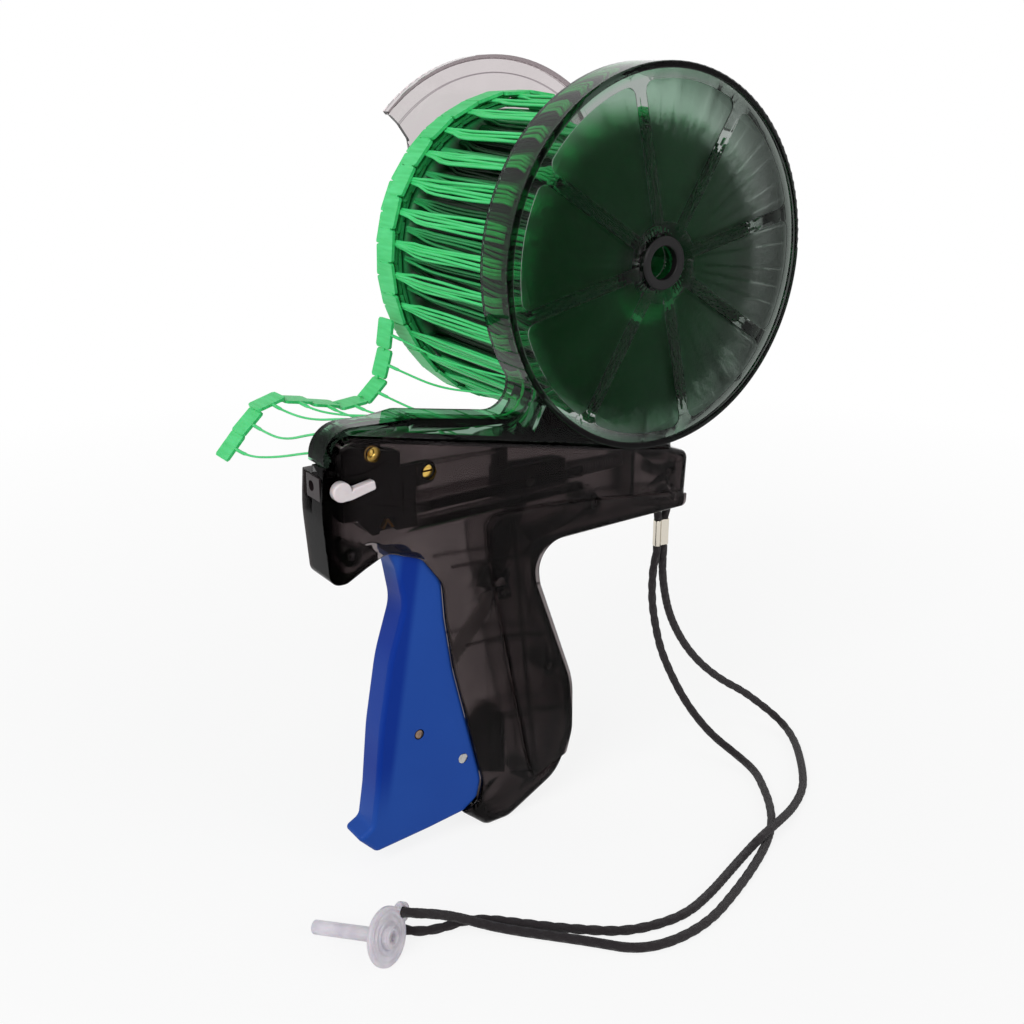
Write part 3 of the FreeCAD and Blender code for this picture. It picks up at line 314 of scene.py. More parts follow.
# bright nickel plate: a near mirror with faint rolling marks down its length
nickel, tree, place = new_finish("bright nickel plate")
drawn = add(tree, "Mapping", {"Vector": place, "Scale": (1, 1, 0.08)})
marks = add(tree, "TexNoise", {"Vector": drawn, "Scale": 4000.0, "Detail": 2.0})
bump = add(tree, "Bump", {"Strength": 0.15, "Distance": 0.00005, "Height": marks})
skin = add(tree, "BsdfPrincipled", {
    "Base Color": hex_colour("#d6cfc2"), "Metallic": 1.0, "Roughness": 0.17, "Normal": bump})
add(tree, "OutputMaterial", (skin,))
ferrule.data.materials.append(nickel)
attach(ferrule, "body")
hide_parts("strap_ferrule")


def made_plain(piece):
    """Turns what the piece's modifiers make into its own plain mesh."""
    view = bpy.context.evaluated_depsgraph_get()
    finished = bpy.data.meshes.new_from_object(piece.evaluated_get(view), depsgraph=view)
    piece.modifiers.clear()
    piece.data = finished


def softened(piece):
    """Soft shading over curves, crisp where faces meet at an angle; flat faces stay flat."""
    piece.data.polygons.foreach_set("use_smooth", [True] * len(piece.data.polygons))
    piece.data.set_sharp_from_angle(angle=math.radians(28))
    weigh = piece.modifiers.new("flat faces stay flat", "WEIGHTED_NORMAL")
    weigh.mode = "FACE_AREA"
    weigh.keep_sharp = True
    made_plain(piece)


def dress(node, name, body, finish):
    """A CAD node's own shape, merged, soft shaded and in its real finish."""
    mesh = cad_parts[node].data.copy()
    mesh.materials.clear()
    form = bmesh.new()
    form.from_mesh(mesh)
    bmesh.ops.remove_doubles(form, verts=form.verts, dist=1e-6)
    bmesh.ops.dissolve_degenerate(form, edges=form.edges, dist=1e-7)
    form.to_mesh(mesh)
    form.free()
    piece = bpy.data.objects.new(name, mesh)
    scene.collection.objects.link(piece)
    softened(piece)
    piece.data.materials.append(finish)
    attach(piece, body)
    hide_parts(node)
    return piece


def ripples(tree, reach, pitch):
    """Low rings that repeat with the distance."""
    wave = add(tree, "Math MULTIPLY", (reach, 2 * math.pi / pitch))
    return add(tree, "Math SINE", (wave,))


# The guard for the needle is a milky polyethylene disc with a hollow stem, moulded
# with low rings round its middle and an eye for the strap.
guard_hub = Vector((-0.0729, -0.0470, -0.0474))
guard_axis = Vector((-0.43, 0.868, -0.24)).normalized()
upright = guard_axis.rotation_difference(Vector((0, 0, 1)))
milky, tree, place = new_finish("milky polyethylene")
hub_place = add(tree, "Mapping", {
    "Vector": place, "Rotation": upright.to_euler(), "Location": upright @ -guard_hub})
flat = add(tree, "VectorMath MULTIPLY", (hub_place, (1, 1, 0)))
away = add(tree, "VectorMath LENGTH", (flat,))
cloud = add(tree, "TexNoise", {"Vector": place, "Scale": 260.0, "Detail": 3.0})
tint = add(tree, "MapRange", (cloud, 0.3, 0.7))
tone = add(tree, "Mix RGBA", {0: tint, "A": hex_colour("#d9d3de"), "B": hex_colour("#ece8ef")})
rings = ripples(tree, away, 0.0017)
bump = add(tree, "Bump", {"Strength": 0.5, "Distance": 0.0002, "Height": rings})
skin = add(tree, "BsdfPrincipled", {
    "Base Color": tone, "Roughness": 0.28, "Transmission Weight": 0.35, "IOR": 1.51,
    "Subsurface Weight": 0.2, "Subsurface Scale": 0.002, "Normal": bump})
add(tree, "OutputMaterial", (skin,))
guard = dress("needle_guard", "milky_needle_guard", "body", milky)


# --- body shells ---
# Two injection moulded halves in smoke clear polycarbonate, screwed together down the
# middle.  The flat sides have a fine spark grain; nose, edges and inside are polished.
clear_ior, dull_ior = 1.42, 1.13
nose_back, nose_front = -0.0560, -0.0625


def from_axis(tree, place, x, z):
    """Distance of a point from the cross axis through x, z."""
    away = add(tree, "VectorMath SUBTRACT", (place, (x, 0, z)))
    away = add(tree, "VectorMath MULTIPLY", (away, (1, 0, 1)))
    return add(tree, "VectorMath LENGTH", (away,))


def smoke_finish(name, look, density, shade, clear, painted_shade, gloss, polished, grained, grain_depth,
                 even, painted_light="#ffffff"):
    """Clear plastic, darker through a thicker wall.

    density and shade colour what shines through; clear and gloss are the skin's colours, and two
    more colours are painted on it: a darker one as painted shade and another as painted light.
    look gives five masks: grain, painted shade, relief, painted light and loss of gloss.
    """
    finish, tree, place = new_finish(name)
    grained_at, painted_shade_at, relief, painted_light_at, dull_at = look(tree, place)
    grain = add(tree, "TexNoise", {"Vector": place, "Scale": 1300.0, "Detail": 2.0})
    flow = add(tree, "TexNoise", {"Vector": place, "Scale": 55.0, "Detail": 3.0})
    height = add(tree, "Math MULTIPLY_ADD", (grain, grained_at, relief))
    bump = add(tree, "Bump", {"Strength": grain_depth, "Distance": 0.0001, "Height": height})
    rough = add(tree, "MapRange", (grained_at, 0.0, 1.0, polished, grained))
    uneven = add(tree, "MapRange", (flow, 0.0, 1.0, -0.02, 0.02))
    rough = add(tree, "Math ADD", (rough, uneven), use_clamp=True)
    cloud = add(tree, "MapRange", (flow, 0.35, 0.65, even, 1.0))
    # the darker colour mixed in first is painted shade; the colour mixed in next is painted light
    tone = add(tree, "Mix RGBA", {0: painted_shade_at, "A": hex_colour(clear), "B": hex_colour(painted_shade)})
    tone = add(tree, "Mix RGBA", {0: painted_light_at, "A": tone, "B": hex_colour(painted_light)})
    tone = add(tree, "VectorMath SCALE", {0: tone, "Scale": cloud})
    ior = clear_ior
    if dull_at:
        ior = add(tree, "MapRange", (dull_at, 0.0, 1.0, clear_ior, dull_ior))
    skin = add(tree, "BsdfPrincipled", {
        "Base Color": tone, "Roughness": rough, "Transmission Weight": 1.0, "IOR": ior,
        "Specular Tint": hex_colour(gloss), "Normal": bump})
    ray = add(tree, "LightPath").outputs
    open_air = add(tree, "BsdfTransparent")
    mix = add(tree, "MixShader", (ray["Is Shadow Ray"], skin, open_air))
    wall = add(tree, "VolumeAbsorption", {"Color": hex_colour(shade), "Density": density})
    add(tree, "OutputMaterial", (mix, wall))
    return finish


def body_look(tree, place):
    """Grain on the flat sides behind the nose; its front is darker in colour and duller, painted
    shade.
    """
    at = add(tree, "SeparateXYZ", (place,)).outputs
    aside = add(tree, "Math ABSOLUTE", (at["Y"],))
    flat = add(tree, "Math GREATER_THAN", (aside, 0.00685))
    behind = add(tree, "MapRange", (at["X"], -0.036, -0.030))
    grained = add(tree, "Math MULTIPLY", (flat, behind))
    # painted shade: the nose front gets a darker colour and a weaker reflection
    painted_shade = add(tree, "MapRange", (at["X"], -0.0600, nose_front))
    dull = add(tree, "MapRange", (at["X"], nose_back, nose_front))
    return grained, painted_shade, 0.0, 0.0, dull


smoke_body = smoke_finish(
    "smoke clear polycarbonate", body_look, density=900.0, shade="#614245", clear="#f3efef",
    painted_shade="#615d5d", gloss="#857c7e", polished=0.04, grained=0.24, grain_depth=0.5, even=0.75)
near_wall = dress("near_shell", "near_body_shell", "body", smoke_body)
far_wall = dress("far_shell", "far_body_shell", "body", smoke_body)

# Moulded lines: a groove follows the raised palm panel on both sides; on the near side
# the nose has fine ledges, and holes that show the block's screw and the axle's head.
palm_side, palm_groove_r = 7.05, 0.0006
nose_side, nose_groove_r = -7.0, 0.00034
palm_line = [(70.4, 46.9), (45.0, 50.1), (15.0, 53.8), (0.0, 54.3), (-12.4, 54.8), (-12.2, 46.0),
             (-10.5, 36.0), (-7.2, 19.0), (-4.0, 2.0), (0.7, -21.0), (5.4, -44.3), (11.0, -42.6),
             (20.4, -39.4)]
nose_lines = [
    [(-65.6, 64.0), (-58.0, 62.4), (-55.4, 62.3), (-51.6, 66.0), (-49.0, 66.0), (-36.8, 62.4)],
    [(-36.5, 77.6), (-36.7, 68.0), (-37.1, 57.6)],
    [(-45.4, 71.6), (-45.3, 66.5), (-41.0, 65.9), (-36.8, 65.2)],
    [(-41.2, 71.4), (-41.2, 66.0), (-41.4, 61.9)],
    [(-65.4, 77.0), (-60.0, 76.3), (-52.0, 76.6), (-46.0, 79.0)]]
near_screw = (-0.0320, 0.0727)
axle_head = (-0.0502, 0.0812)


def cut(wall, tool):
    """Cuts the tool's shape out of a shell and removes the tool."""
    milled = wall.modifiers.new("cut", "BOOLEAN")
    milled.operation = "DIFFERENCE"
    milled.solver = "EXACT"
    milled.object = tool
    made_plain(wall)
    bpy.data.objects.remove(tool)


def cut_line(wall, side, radius, route):
    """Cuts a fine round groove along the route in a shell's flat side."""
    line = smooth_line("line", [(x, side, z) for x, z in route], 10)
    cut(wall, swept_tube("line", line, lambda run, angle: radius, 10))


cut_line(near_wall, -palm_side, palm_groove_r, palm_line)
cut_line(far_wall, palm_side, palm_groove_r, palm_line)
for line in nose_lines:
    cut_line(near_wall, nose_side, nose_groove_r, line)
for (x, z), radius in ((near_screw, 0.00235), (axle_head, 0.0022)):
    form = bmesh.new()
    across = Matrix.Translation((x, -0.0064, z)) @ Matrix.Rotation(math.pi / 2, 4, "X")
    bmesh.ops.create_cone(form, cap_ends=True, segments=40, radius1=radius, radius2=radius,
                          depth=0.0022, matrix=across)
    cut(near_wall, piece_from("screw hole", form))
softened(near_wall)
softened(far_wall)


def plain_finish(name, scale, detail, colours, skin, grain=0.0):
    """Moulded or blackened surface in two close colours; grain is the depth of its bumps."""
    finish, tree, place = new_finish(name)
    cloud, tone = mottled(tree, place, scale, detail, *colours)
    values = {"Base Color": tone, **skin}
    if grain:
        bump = add(tree, "Bump", {"Strength": grain, "Distance": 0.0001, "Height": cloud})
        values["Normal"] = bump
    add(tree, "OutputMaterial", (add(tree, "BsdfPrincipled", values),))
    return finish


# Ribs inside the palm stiffen each side; they stay low, because the trigger sweeps past.
# Their darker tint is painted shade, so that they read as dark lines, and the last strip, on the
# palm line, is a dark line of painted shade along the palm panel's edge.
rib_smoke = plain_finish("smoke clear polycarbonate ribs", 90.0, 2.0, ("#7c7676", "#ada6a6"), {
    "Roughness": 0.08, "Transmission Weight": 1.0, "IOR": clear_ior,
    "Specular Tint": hex_colour("#857c7e")})
rib_half, rib_foot, rib_top = 0.0006, 0.0056, 0.00545
rib_routes = [
    [(-24.5, 40.6), (-10.0, 39.4), (5.0, 38.6)],
    [(-19.8, 12.8), (-8.0, 12.4), (4.0, 11.0), (13.2, 8.4)],
    [(-9.6, -15.6), (-2.0, -16.0), (8.0, -17.6), (18.8, -20.6)],
    [(-1.2, 49.0), (0.4, 26.0), (2.6, 4.0), (5.0, -20.0), (8.6, -41.0)], palm_line]
for side, label, wall in ((-1, "near", "near_shell"), (1, "far", "far_shell")):
    form = bmesh.new()
    foot, top = Vector((0, side * rib_foot, 0)), Vector((0, side * rib_top, 0))
    for route in rib_routes:
        line = smooth_line("rib", [(x, 0, z) for x, z in route], 12)
        strips = []
        for i, point in enumerate(line):
            ahead = heading(line, i)
            aside = Vector((-ahead.z, 0, ahead.x)) * rib_half
            strips.append([form.verts.new(point + a + b) for a, b in (
                (aside, foot), (aside * 0.8, top), (-aside * 0.8, top), (-aside, foot))])
        skinned(form, strips)
    ribs = piece_from(label + "_palm_ribs", form)
    ribs.data.materials.append(rib_smoke)
    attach(ribs, "body")
    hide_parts(wall)


def metal_finish(name, colour, scale, detail, smoothest, roughest):
    """Bare metal of one colour, with a gloss that varies over it."""
    finish, tree, place = new_finish(name)
    cloud = add(tree, "TexNoise", {"Vector": place, "Scale": scale, "Detail": detail})
    rough = add(tree, "MapRange", (cloud, 0.0, 1.0, smoothest, roughest))
    skin = add(tree, "BsdfPrincipled", {
        "Base Color": hex_colour(colour), "Metallic": 1.0, "Roughness": rough})
    add(tree, "OutputMaterial", (skin,))
    return finish


# zinc plated steel: shell screws, pins and the linkage; a pale grey with soft gloss
zinc = metal_finish("zinc plated steel", "#b9b8b6", 900.0, 4.0, 0.22, 0.42)
for node, body in (("shell_screws", "body"), ("strap_pin", "body"), ("crank_pin", "body"),
                   ("trigger_pivot_pin", "body"), ("strip_knife", "body"),
                   ("toe_pin", "crank"), ("push_link", "push_link"),
                   ("carriage_pin", "carriage"), ("push_rod", "carriage")):
    dress(node, node + "_zinc", body, zinc)

# blackened steel: the needle clamp, whose front fills the opening at the top of the nose
blackened = plain_finish("blackened steel", 700.0, 4.0, ("#1a1416", "#33292c"), {
    "Metallic": 0.3, "Roughness": 0.4, "Specular IOR Level": 0.3})
dress("needle_clamp", "needle_clamp_block", "body", blackened)


# --- reel holder ---
# One smoke clear moulding: cup, neck and feed track.  Eight sectors of its face are
# sunk 0.4 mm and etched, so they blur what is behind; the spokes between stay clear.
cup_x, cup_z = 0.056, 0.126
sunk_y, step_y, face_y, fit = -0.0066, -0.00685, -0.00708, 0.00012


def cup_look(tree, place):
    """Masks of the cup and track.

    Etched floor of the sunk sectors; painted shade as a darker colour in their walls, the lip,
    the plate's inner face, the neck and the nose; rings at the hub; the roll's green light painted
    on where it shines through, on the lit side of the rim and over the etched face; a duller nose,
    painted shade too.
    """
    at = add(tree, "SeparateXYZ", (place,)).outputs
    reach = from_axis(tree, place, cup_x, cup_z)
    level = add(tree, "Math COMPARE", (at["Y"], sunk_y, fit))
    inside = add(tree, "Math LESS_THAN", (reach, 0.0556))
    etched = add(tree, "Math MULTIPLY", (level, inside))
    outer = add(tree, "Math GREATER_THAN", (reach, 0.0581))
    proud = add(tree, "Math LESS_THAN", (at["Y"], face_y))
    back = add(tree, "Math GREATER_THAN", (at["Y"], -step_y))
    ends = add(tree, "Math MAXIMUM", (proud, back))
    lip = add(tree, "Math MULTIPLY", (outer, ends))
    plate = add(tree, "MapRange", (at["Y"], -0.0046, -0.0049, 0.0, 0.12))
    front = add(tree, "MapRange", (at["X"], nose_back, -0.0600, 0.0, 0.8))
    neck = add(tree, "MapRange", (reach, 0.0606, 0.0640, 0.0, 0.55))
    # painted shade: darker colour in the sector walls, the lip, a little on the plate's inner face,
    # the nose front and the neck
    painted_shade = add(tree, "Math COMPARE", (at["Y"], step_y, fit))
    for part in (plate, lip, front, neck):
        painted_shade = add(tree, "Math MAXIMUM", (painted_shade, part))
    near_hub = add(tree, "MapRange", (reach, 0.012, 0.034, 0.6, 0.0))
    rings = add(tree, "Math MULTIPLY", (ripples(tree, reach, 0.0016), near_hub))
    band = add(tree, "Math ABSOLUTE", (at["Y"],))
    band = add(tree, "Math LESS_THAN", (band, -sunk_y))
    # painted light: the roll's green shining through, painted on the rim's lit side and over the
    # etched face, fading out to the right
    rim = add(tree, "MapRange", (reach, 0.0560, 0.0580))
    rim = add(tree, "Math MULTIPLY", (band, rim))
    lit_side = add(tree, "MapRange", (at["X"], 0.085, 0.045))
    rim = add(tree, "Math MULTIPLY", (rim, lit_side))
    painted_face_light = add(tree, "MapRange", (at["X"], 0.1, 0.065, 0.0, 0.85))
    painted_face_light = add(tree, "Math MULTIPLY", (etched, painted_face_light))
    painted_light_mask = add(tree, "Math MAXIMUM", (rim, painted_face_light))
    dull = add(tree, "MapRange", (at["X"], nose_back, nose_front))
    return etched, painted_shade, rings, painted_light_mask, dull


smoke_reel = smoke_finish(
    "smoke clear acrylic", cup_look, density=330.0, shade="#3f5545", clear="#ecf3ef",
    painted_shade="#383838", gloss="#454142", polished=0.03, grained=0.6, grain_depth=0.25, even=0.9,
    painted_light="#a6eabf")
dress("reel_holder", "reel_cup_and_track", "body", smoke_reel)

# black nylon: hub bush, feed block, wheel and sliding parts; matt with a soft sheen
nylon = plain_finish("black nylon", 1200.0, 3.0, ("#0b0a0b", "#181617"), {
    "Roughness": 0.38, "Specular IOR Level": 0.2}, grain=0.2)
for node, name, body in (("hub_bush", "hub_ring", "body"),
                         ("feed_block", "nose_feed_block", "body"),
                         ("feed_wheel", "toothed_feed_wheel", "feed_wheel"),
                         ("drive_crank", "drive_crank_arm", "crank"),
                         ("slide_carriage", "sliding_carriage", "carriage")):
    dress(node, name, body, nylon)


# --- fasteners on the roll ---
# Moulded green polypropylene strip: each fastener is a T-bar at the cup, a drawn
# filament and a flat paddle.  Thirty-one of them make a turn; the turns lie on a core.
roll_x, roll_z = 0.0552, 0.1215
roll_middle_y = 0.039
stations = 31
station_angle = 2 * math.pi / stations


def green_finish(name, painted_shade):
    """Translucent green film, bright where thin; with the flag, painted shade darkens buried turns.
    """
    finish, tree, place = new_finish(name)
    streak = add(tree, "Mapping", {"Vector": place, "Scale": (1, 0.12, 1)})
    colour = mottled(tree, streak, 700.0, 3.0, "#17b555", "#5be08f")[1]
    if painted_shade:
        # painted shade: the turns under the outer ones darken with depth, a little less near the
        # roll's ends
        reach = from_axis(tree, place, roll_x, roll_z)
        depth_shade = add(tree, "MapRange", (reach, 0.0525, 0.0465),
                     interpolation_type="SMOOTHSTEP")
        at = add(tree, "SeparateXYZ", (place,)).outputs
        end = add(tree, "Math SUBTRACT", (at["Y"], roll_middle_y))
        end = add(tree, "Math ABSOLUTE", (end,))
        end = add(tree, "MapRange", (end, 0.036, 0.040))
        depth_shade_colour = add(tree, "Mix RGBA", {0: end, "A": hex_colour("#02240b"),
                                       "B": hex_colour("#085024")})
        colour = add(tree, "Mix RGBA", {0: depth_shade, "A": colour, "B": depth_shade_colour})
    skin = add(tree, "BsdfPrincipled", {
        "Base Color": colour, "Roughness": 0.42, "IOR": 1.49, "Specular IOR Level": 0.3,
        "Subsurface Weight": 0.12, "Subsurface Scale": 0.001})
    add(tree, "OutputMaterial", (skin,))
    return finish


green = green_finish("green polypropylene film", True)
green_core = green_finish("moulded green polypropylene", False)


def made_by(tree, name, sizes):
    """Plain mesh object from a Geometry Nodes tree, with the tree's inputs set by name."""
    piece = bpy.data.objects.new(name, bpy.data.meshes.new(name))
    scene.collection.objects.link(piece)
    maker = piece.modifiers.new(name, "NODES")
    maker.node_group = tree
    for item in tree.interface.items_tree:
        if item.in_out == "INPUT" and item.name in sizes:
            maker[item.identifier] = sizes[item.name]
    made_plain(piece)
    return piece


def new_tree(name, **inputs):
    """Geometry Nodes tree with one Geometry output and named inputs: whole numbers or sizes."""
    tree = bpy.data.node_groups.new(name, "GeometryNodeTree")
    tree.interface.new_socket("Geometry", in_out="OUTPUT", socket_type="NodeSocketGeometry")
    for label, value in inputs.items():
        kind = "NodeSocketInt" if isinstance(value, int) else "NodeSocketFloat"
        socket = tree.interface.new_socket(label, in_out="INPUT", socket_type=kind)
        socket.default_value = value
    return tree, tree.nodes.new("NodeGroupInput").outputs


def on_roll(tree, radius, angle, y):
    """Place at a radius and an angle round the roll's axis."""
    x = add(tree, "Math COSINE", (angle,))
    x = add(tree, "Math MULTIPLY_ADD", (radius, x, roll_x))
    z = add(tree, "Math SINE", (angle,))
    z = add(tree, "Math MULTIPLY_ADD", (radius, z, roll_z))
    return add(tree, "CombineXYZ", (x, y, z))


def last_nodes(tree, form, finish):
    """Each tree ends in a plain mesh in its finish."""
    real = add(tree, "GeometryNodeRealizeInstances", (form,))
    coloured = add(tree, "GeometryNodeSetMaterial", {"Geometry": real, "Material": finish})
    add(tree, "NodeGroupOutput", (coloured,))


# Filaments: a bundle for each station.  The strands leave the paddle's neck together,
# fan out on the way to the cup and each wanders a little.
g, size = new_tree("filament bundles", Stations=31, Strands=6, Radius=0.0535, Depth=0.003,
                   Fan=0.12, Turn=0.0, Twist=0.0, Near_Y=-0.002, Far_Y=0.069,
                   Thickness=0.00056, Wander=0.02, Seed=1)
filaments = g
count = add(g, "Math MULTIPLY", (size["Stations"], size["Strands"]))
start = add(g, "GeometryNodeCurvePrimitiveLine", {"End": (0, 1, 0)})
start = add(g, "GeometryNodeResampleCurve", {"Curve": start, "Count": 13})
points = add(g, "GeometryNodePoints", {"Count": count})
placed = add(g, "GeometryNodeInstanceOnPoints", {"Points": points, "Instance": start})
number = add(g, "GeometryNodeCaptureAttribute", {"Geometry": placed}, domain="INSTANCE")
number.capture_items.new("INT", "Number")
g.links.new(add(g, "GeometryNodeInputIndex").outputs[0], number.inputs["Number"])
which = number.outputs["Number"]
real = add(g, "GeometryNodeRealizeInstances", (number.outputs["Geometry"],))
t = add(g, "GeometryNodeSplineParameter").outputs["Factor"]
jolt = add(g, "FunctionNodeRandomValue FLOAT", {"ID": which, "Seed": size["Seed"]})
seed2 = add(g, "Math ADD", (size["Seed"], 7))
jolt2 = add(g, "FunctionNodeRandomValue FLOAT", {"ID": which, "Seed": seed2})
# the strand's bundle, and its lane from -0.5 to 0.5 across the bundle
station = add(g, "Math DIVIDE", (which, size["Strands"]))
station = add(g, "Math FLOOR", (station,))
lane = add(g, "Math MODULO", (which, size["Strands"]))
lane = add(g, "Math ADD", (lane, 0.5))
lane = add(g, "Math DIVIDE", (lane, size["Strands"]))
lane = add(g, "Math SUBTRACT", (lane, 0.5))
open_out = add(g, "MapRange", (t, 0.02, 0.2, 0.34, 1.0), interpolation_type="SMOOTHSTEP")
droop = add(g, "MapRange", (t, 0.0, 0.25, -0.02, 0.0), interpolation_type="SMOOTHSTEP")
tuck = add(g, "MapRange", (t, 0.9, 1.0, 0.0, 0.004), interpolation_type="SMOOTHSTEP")
# each strand's own slow wave, strongest in the middle
pace = add(g, "Math MULTIPLY_ADD", (jolt, 4.0, 3.0))
phase = add(g, "Math MULTIPLY", (jolt2, 6.28))
wave = add(g, "Math MULTIPLY_ADD", (t, pace, phase))
wave = add(g, "Math SINE", (wave,))
bulge = add(g, "Math SUBTRACT", (1.35, t))
bulge = add(g, "Math MULTIPLY", (t, bulge))
bulge = add(g, "Math MULTIPLY", (size["Wander"], bulge))
wave = add(g, "Math MULTIPLY", (wave, bulge))
angle = add(g, "Math ADD", (station, size["Turn"]))
angle = add(g, "Math MULTIPLY", (angle, station_angle))
fan = add(g, "Math MULTIPLY", (lane, size["Fan"]))
angle = add(g, "Math MULTIPLY_ADD", (fan, open_out, angle))
# strands on the roll's underside hang away from it
hang = add(g, "Math SINE", (angle,))
hang = add(g, "Math SUBTRACT", (-0.15, hang))
hang = add(g, "Math MAXIMUM", (hang, 0.0))
hang = add(g, "Math MULTIPLY_ADD", (hang, 0.14, size["Twist"]))
lean = add(g, "Math MULTIPLY_ADD", (hang, t, wave))
angle = add(g, "Math ADD", (angle, droop))
angle = add(g, "Math ADD", (angle, lean))
sunk = add(g, "Math MULTIPLY", (jolt, open_out))
sunk = add(g, "Math MULTIPLY_ADD", (size["Depth"], sunk, tuck))
radius = add(g, "Math SUBTRACT", (size["Radius"], sunk))
y = add(g, "Math SUBTRACT", (size["Near_Y"], size["Far_Y"]))
y = add(g, "Math MULTIPLY_ADD", (t, y, size["Far_Y"]))
spot = on_roll(g, radius, angle, y)
bent = add(g, "GeometryNodeSetPosition", {"Geometry": real, "Position": spot})
ring = add(g, "GeometryNodeCurvePrimitiveCircle", {"Resolution": 5, "Radius": size["Thickness"]})
tube = add(g, "GeometryNodeCurveToMesh", {"Curve": bent, "Profile Curve": ring, "Fill Caps": True})
last_nodes(g, add(g, "GeometryNodeSetShadeSmooth", (tube,)), green)

bundles = [made_by(filaments, label, sizes) for label, sizes in (
    ("outer_filaments", {"Strands": 5, "Radius": 0.0537, "Depth": 0.0014, "Fan": 0.1,
                         "Wander": 0.016, "Near_Y": 0.001, "Seed": 3}),
    ("second_filaments", {"Strands": 4, "Radius": 0.0496, "Depth": 0.002, "Fan": 0.1,
                          "Turn": 0.5, "Twist": 0.04, "Near_Y": -0.003, "Seed": 11}),
    ("third_filaments", {"Strands": 6, "Radius": 0.0470, "Depth": 0.0012, "Fan": 0.19,
                         "Turn": 0.7, "Twist": 0.08, "Wander": 0.04, "Near_Y": -0.003,
                         "Seed": 23}))]

# Paddles: thin plates with rounded corners, one for each station, bound edge to edge by
# a narrow neck.
g, size = new_tree("paddle rings", Length=0.0106, Width=0.0094, Sheet=0.0011, Radius=0.0544,
                   Turn=0.0, Middle_Y=0.0733, Seed=1)
outline = add(g, "GeometryNodeCurvePrimitiveQuadrilateral", {"Width": size["Length"],
                                                             "Height": size["Width"]})
outline = add(g, "GeometryNodeFilletCurve", {"Curve": outline, "Radius": 0.0008,
                                             "Limit Radius": True, "Count": 3}, mode="POLY")
face = add(g, "GeometryNodeFillCurve", {"Curve": outline}, mode="NGONS")
slab = add(g, "GeometryNodeExtrudeMesh", {"Mesh": face, "Offset Scale": size["Sheet"]})
flip = add(g, "GeometryNodeFlipFaces", (face,))
neck = add(g, "GeometryNodeMeshCube", {"Size": (0.0012, 0.0052, 0.0008)})
neck = add(g, "GeometryNodeTransform", {"Geometry": neck, "Translation": (0.0056, 0, 0.0005)})
whole = add(g, "GeometryNodeJoinGeometry")
for part in (slab, flip, neck):
    g.links.new(part.outputs[0], whole.inputs[0])
points = add(g, "GeometryNodePoints", {"Count": stations})
index = add(g, "GeometryNodeInputIndex")
jolt = add(g, "FunctionNodeRandomValue FLOAT", {"ID": index, "Seed": size["Seed"]})
seed2 = add(g, "Math ADD", (size["Seed"], 5))
jolt2 = add(g, "FunctionNodeRandomValue FLOAT", {"ID": index, "Seed": seed2})
off = add(g, "Math SUBTRACT", (jolt, 0.5))
off2 = add(g, "Math SUBTRACT", (jolt2, 0.5))
angle = add(g, "Math ADD", (index, size["Turn"]))
angle = add(g, "Math MULTIPLY", (angle, station_angle))
radius = add(g, "Math MULTIPLY_ADD", (jolt, -0.0003, size["Radius"]))
middle = add(g, "Math MULTIPLY_ADD", (off2, 0.0007, size["Middle_Y"]))
spot = on_roll(g, radius, angle, middle)
moved = add(g, "GeometryNodeSetPosition", {"Geometry": points, "Position": spot})
tip = add(g, "Math MULTIPLY", (off, 0.05))
lean = add(g, "Math MULTIPLY_ADD", (off2, 0.06, angle))
lean = add(g, "Math SUBTRACT", (math.pi / 2, lean))
lean = add(g, "CombineXYZ", (tip, lean, 0.0))
placed = add(g, "GeometryNodeInstanceOnPoints", {"Points": moved, "Instance": whole,
                                                 "Rotation": lean})
last_nodes(g, placed, green)

for label, radius, middle, turn, seed in (("outer", 0.0543, 0.0729, 0.0, 2),
                                          ("second", 0.0530, 0.0768, 0.5, 5),
                                          ("third", 0.0515, 0.0752, 0.1, 8),
                                          ("fourth", 0.0500, 0.0756, 0.7, 12)):
    bundles.append(made_by(g, label + "_paddles", {
        "Radius": radius, "Middle_Y": middle, "Turn": turn, "Seed": seed}))

# The turns below are one lumpy mass between core and outer turns, with the T-bars'
# ends standing in rings on its near face.
mass_profile = [(0.0153, -0.0024), (0.0440, -0.0024), (0.0458, 0.002), (0.0460, 0.012),
                (0.0455, 0.066), (0.0478, 0.0695), (0.0490, 0.0700), (0.0490, 0.0805),
                (0.0153, 0.0805)]
steps = 8 * stations
form = bmesh.new()
rings = []
for k in range(steps):
    a = 2 * math.pi * k / steps
    lump = 0.0009 * math.sin(stations * a) + 0.0003 * math.sin(83 * a)
    ring = []
    for r, y in mass_profile:
        r += lump if 0.04 < r < 0.0485 else 0.0
        ring.append(form.verts.new((roll_x + r * math.cos(a), y, roll_z + r * math.sin(a))))
    rings.append(ring)
for k in range(steps):
    here, there = rings[k], rings[(k + 1) % steps]
    for i in range(len(mass_profile)):
        n = (i + 1) % len(mass_profile)
        form.faces.new((here[i], there[i], there[n], here[n])).smooth = True
mass = piece_from("wound_turns", form)
mass.data.materials.append(green)

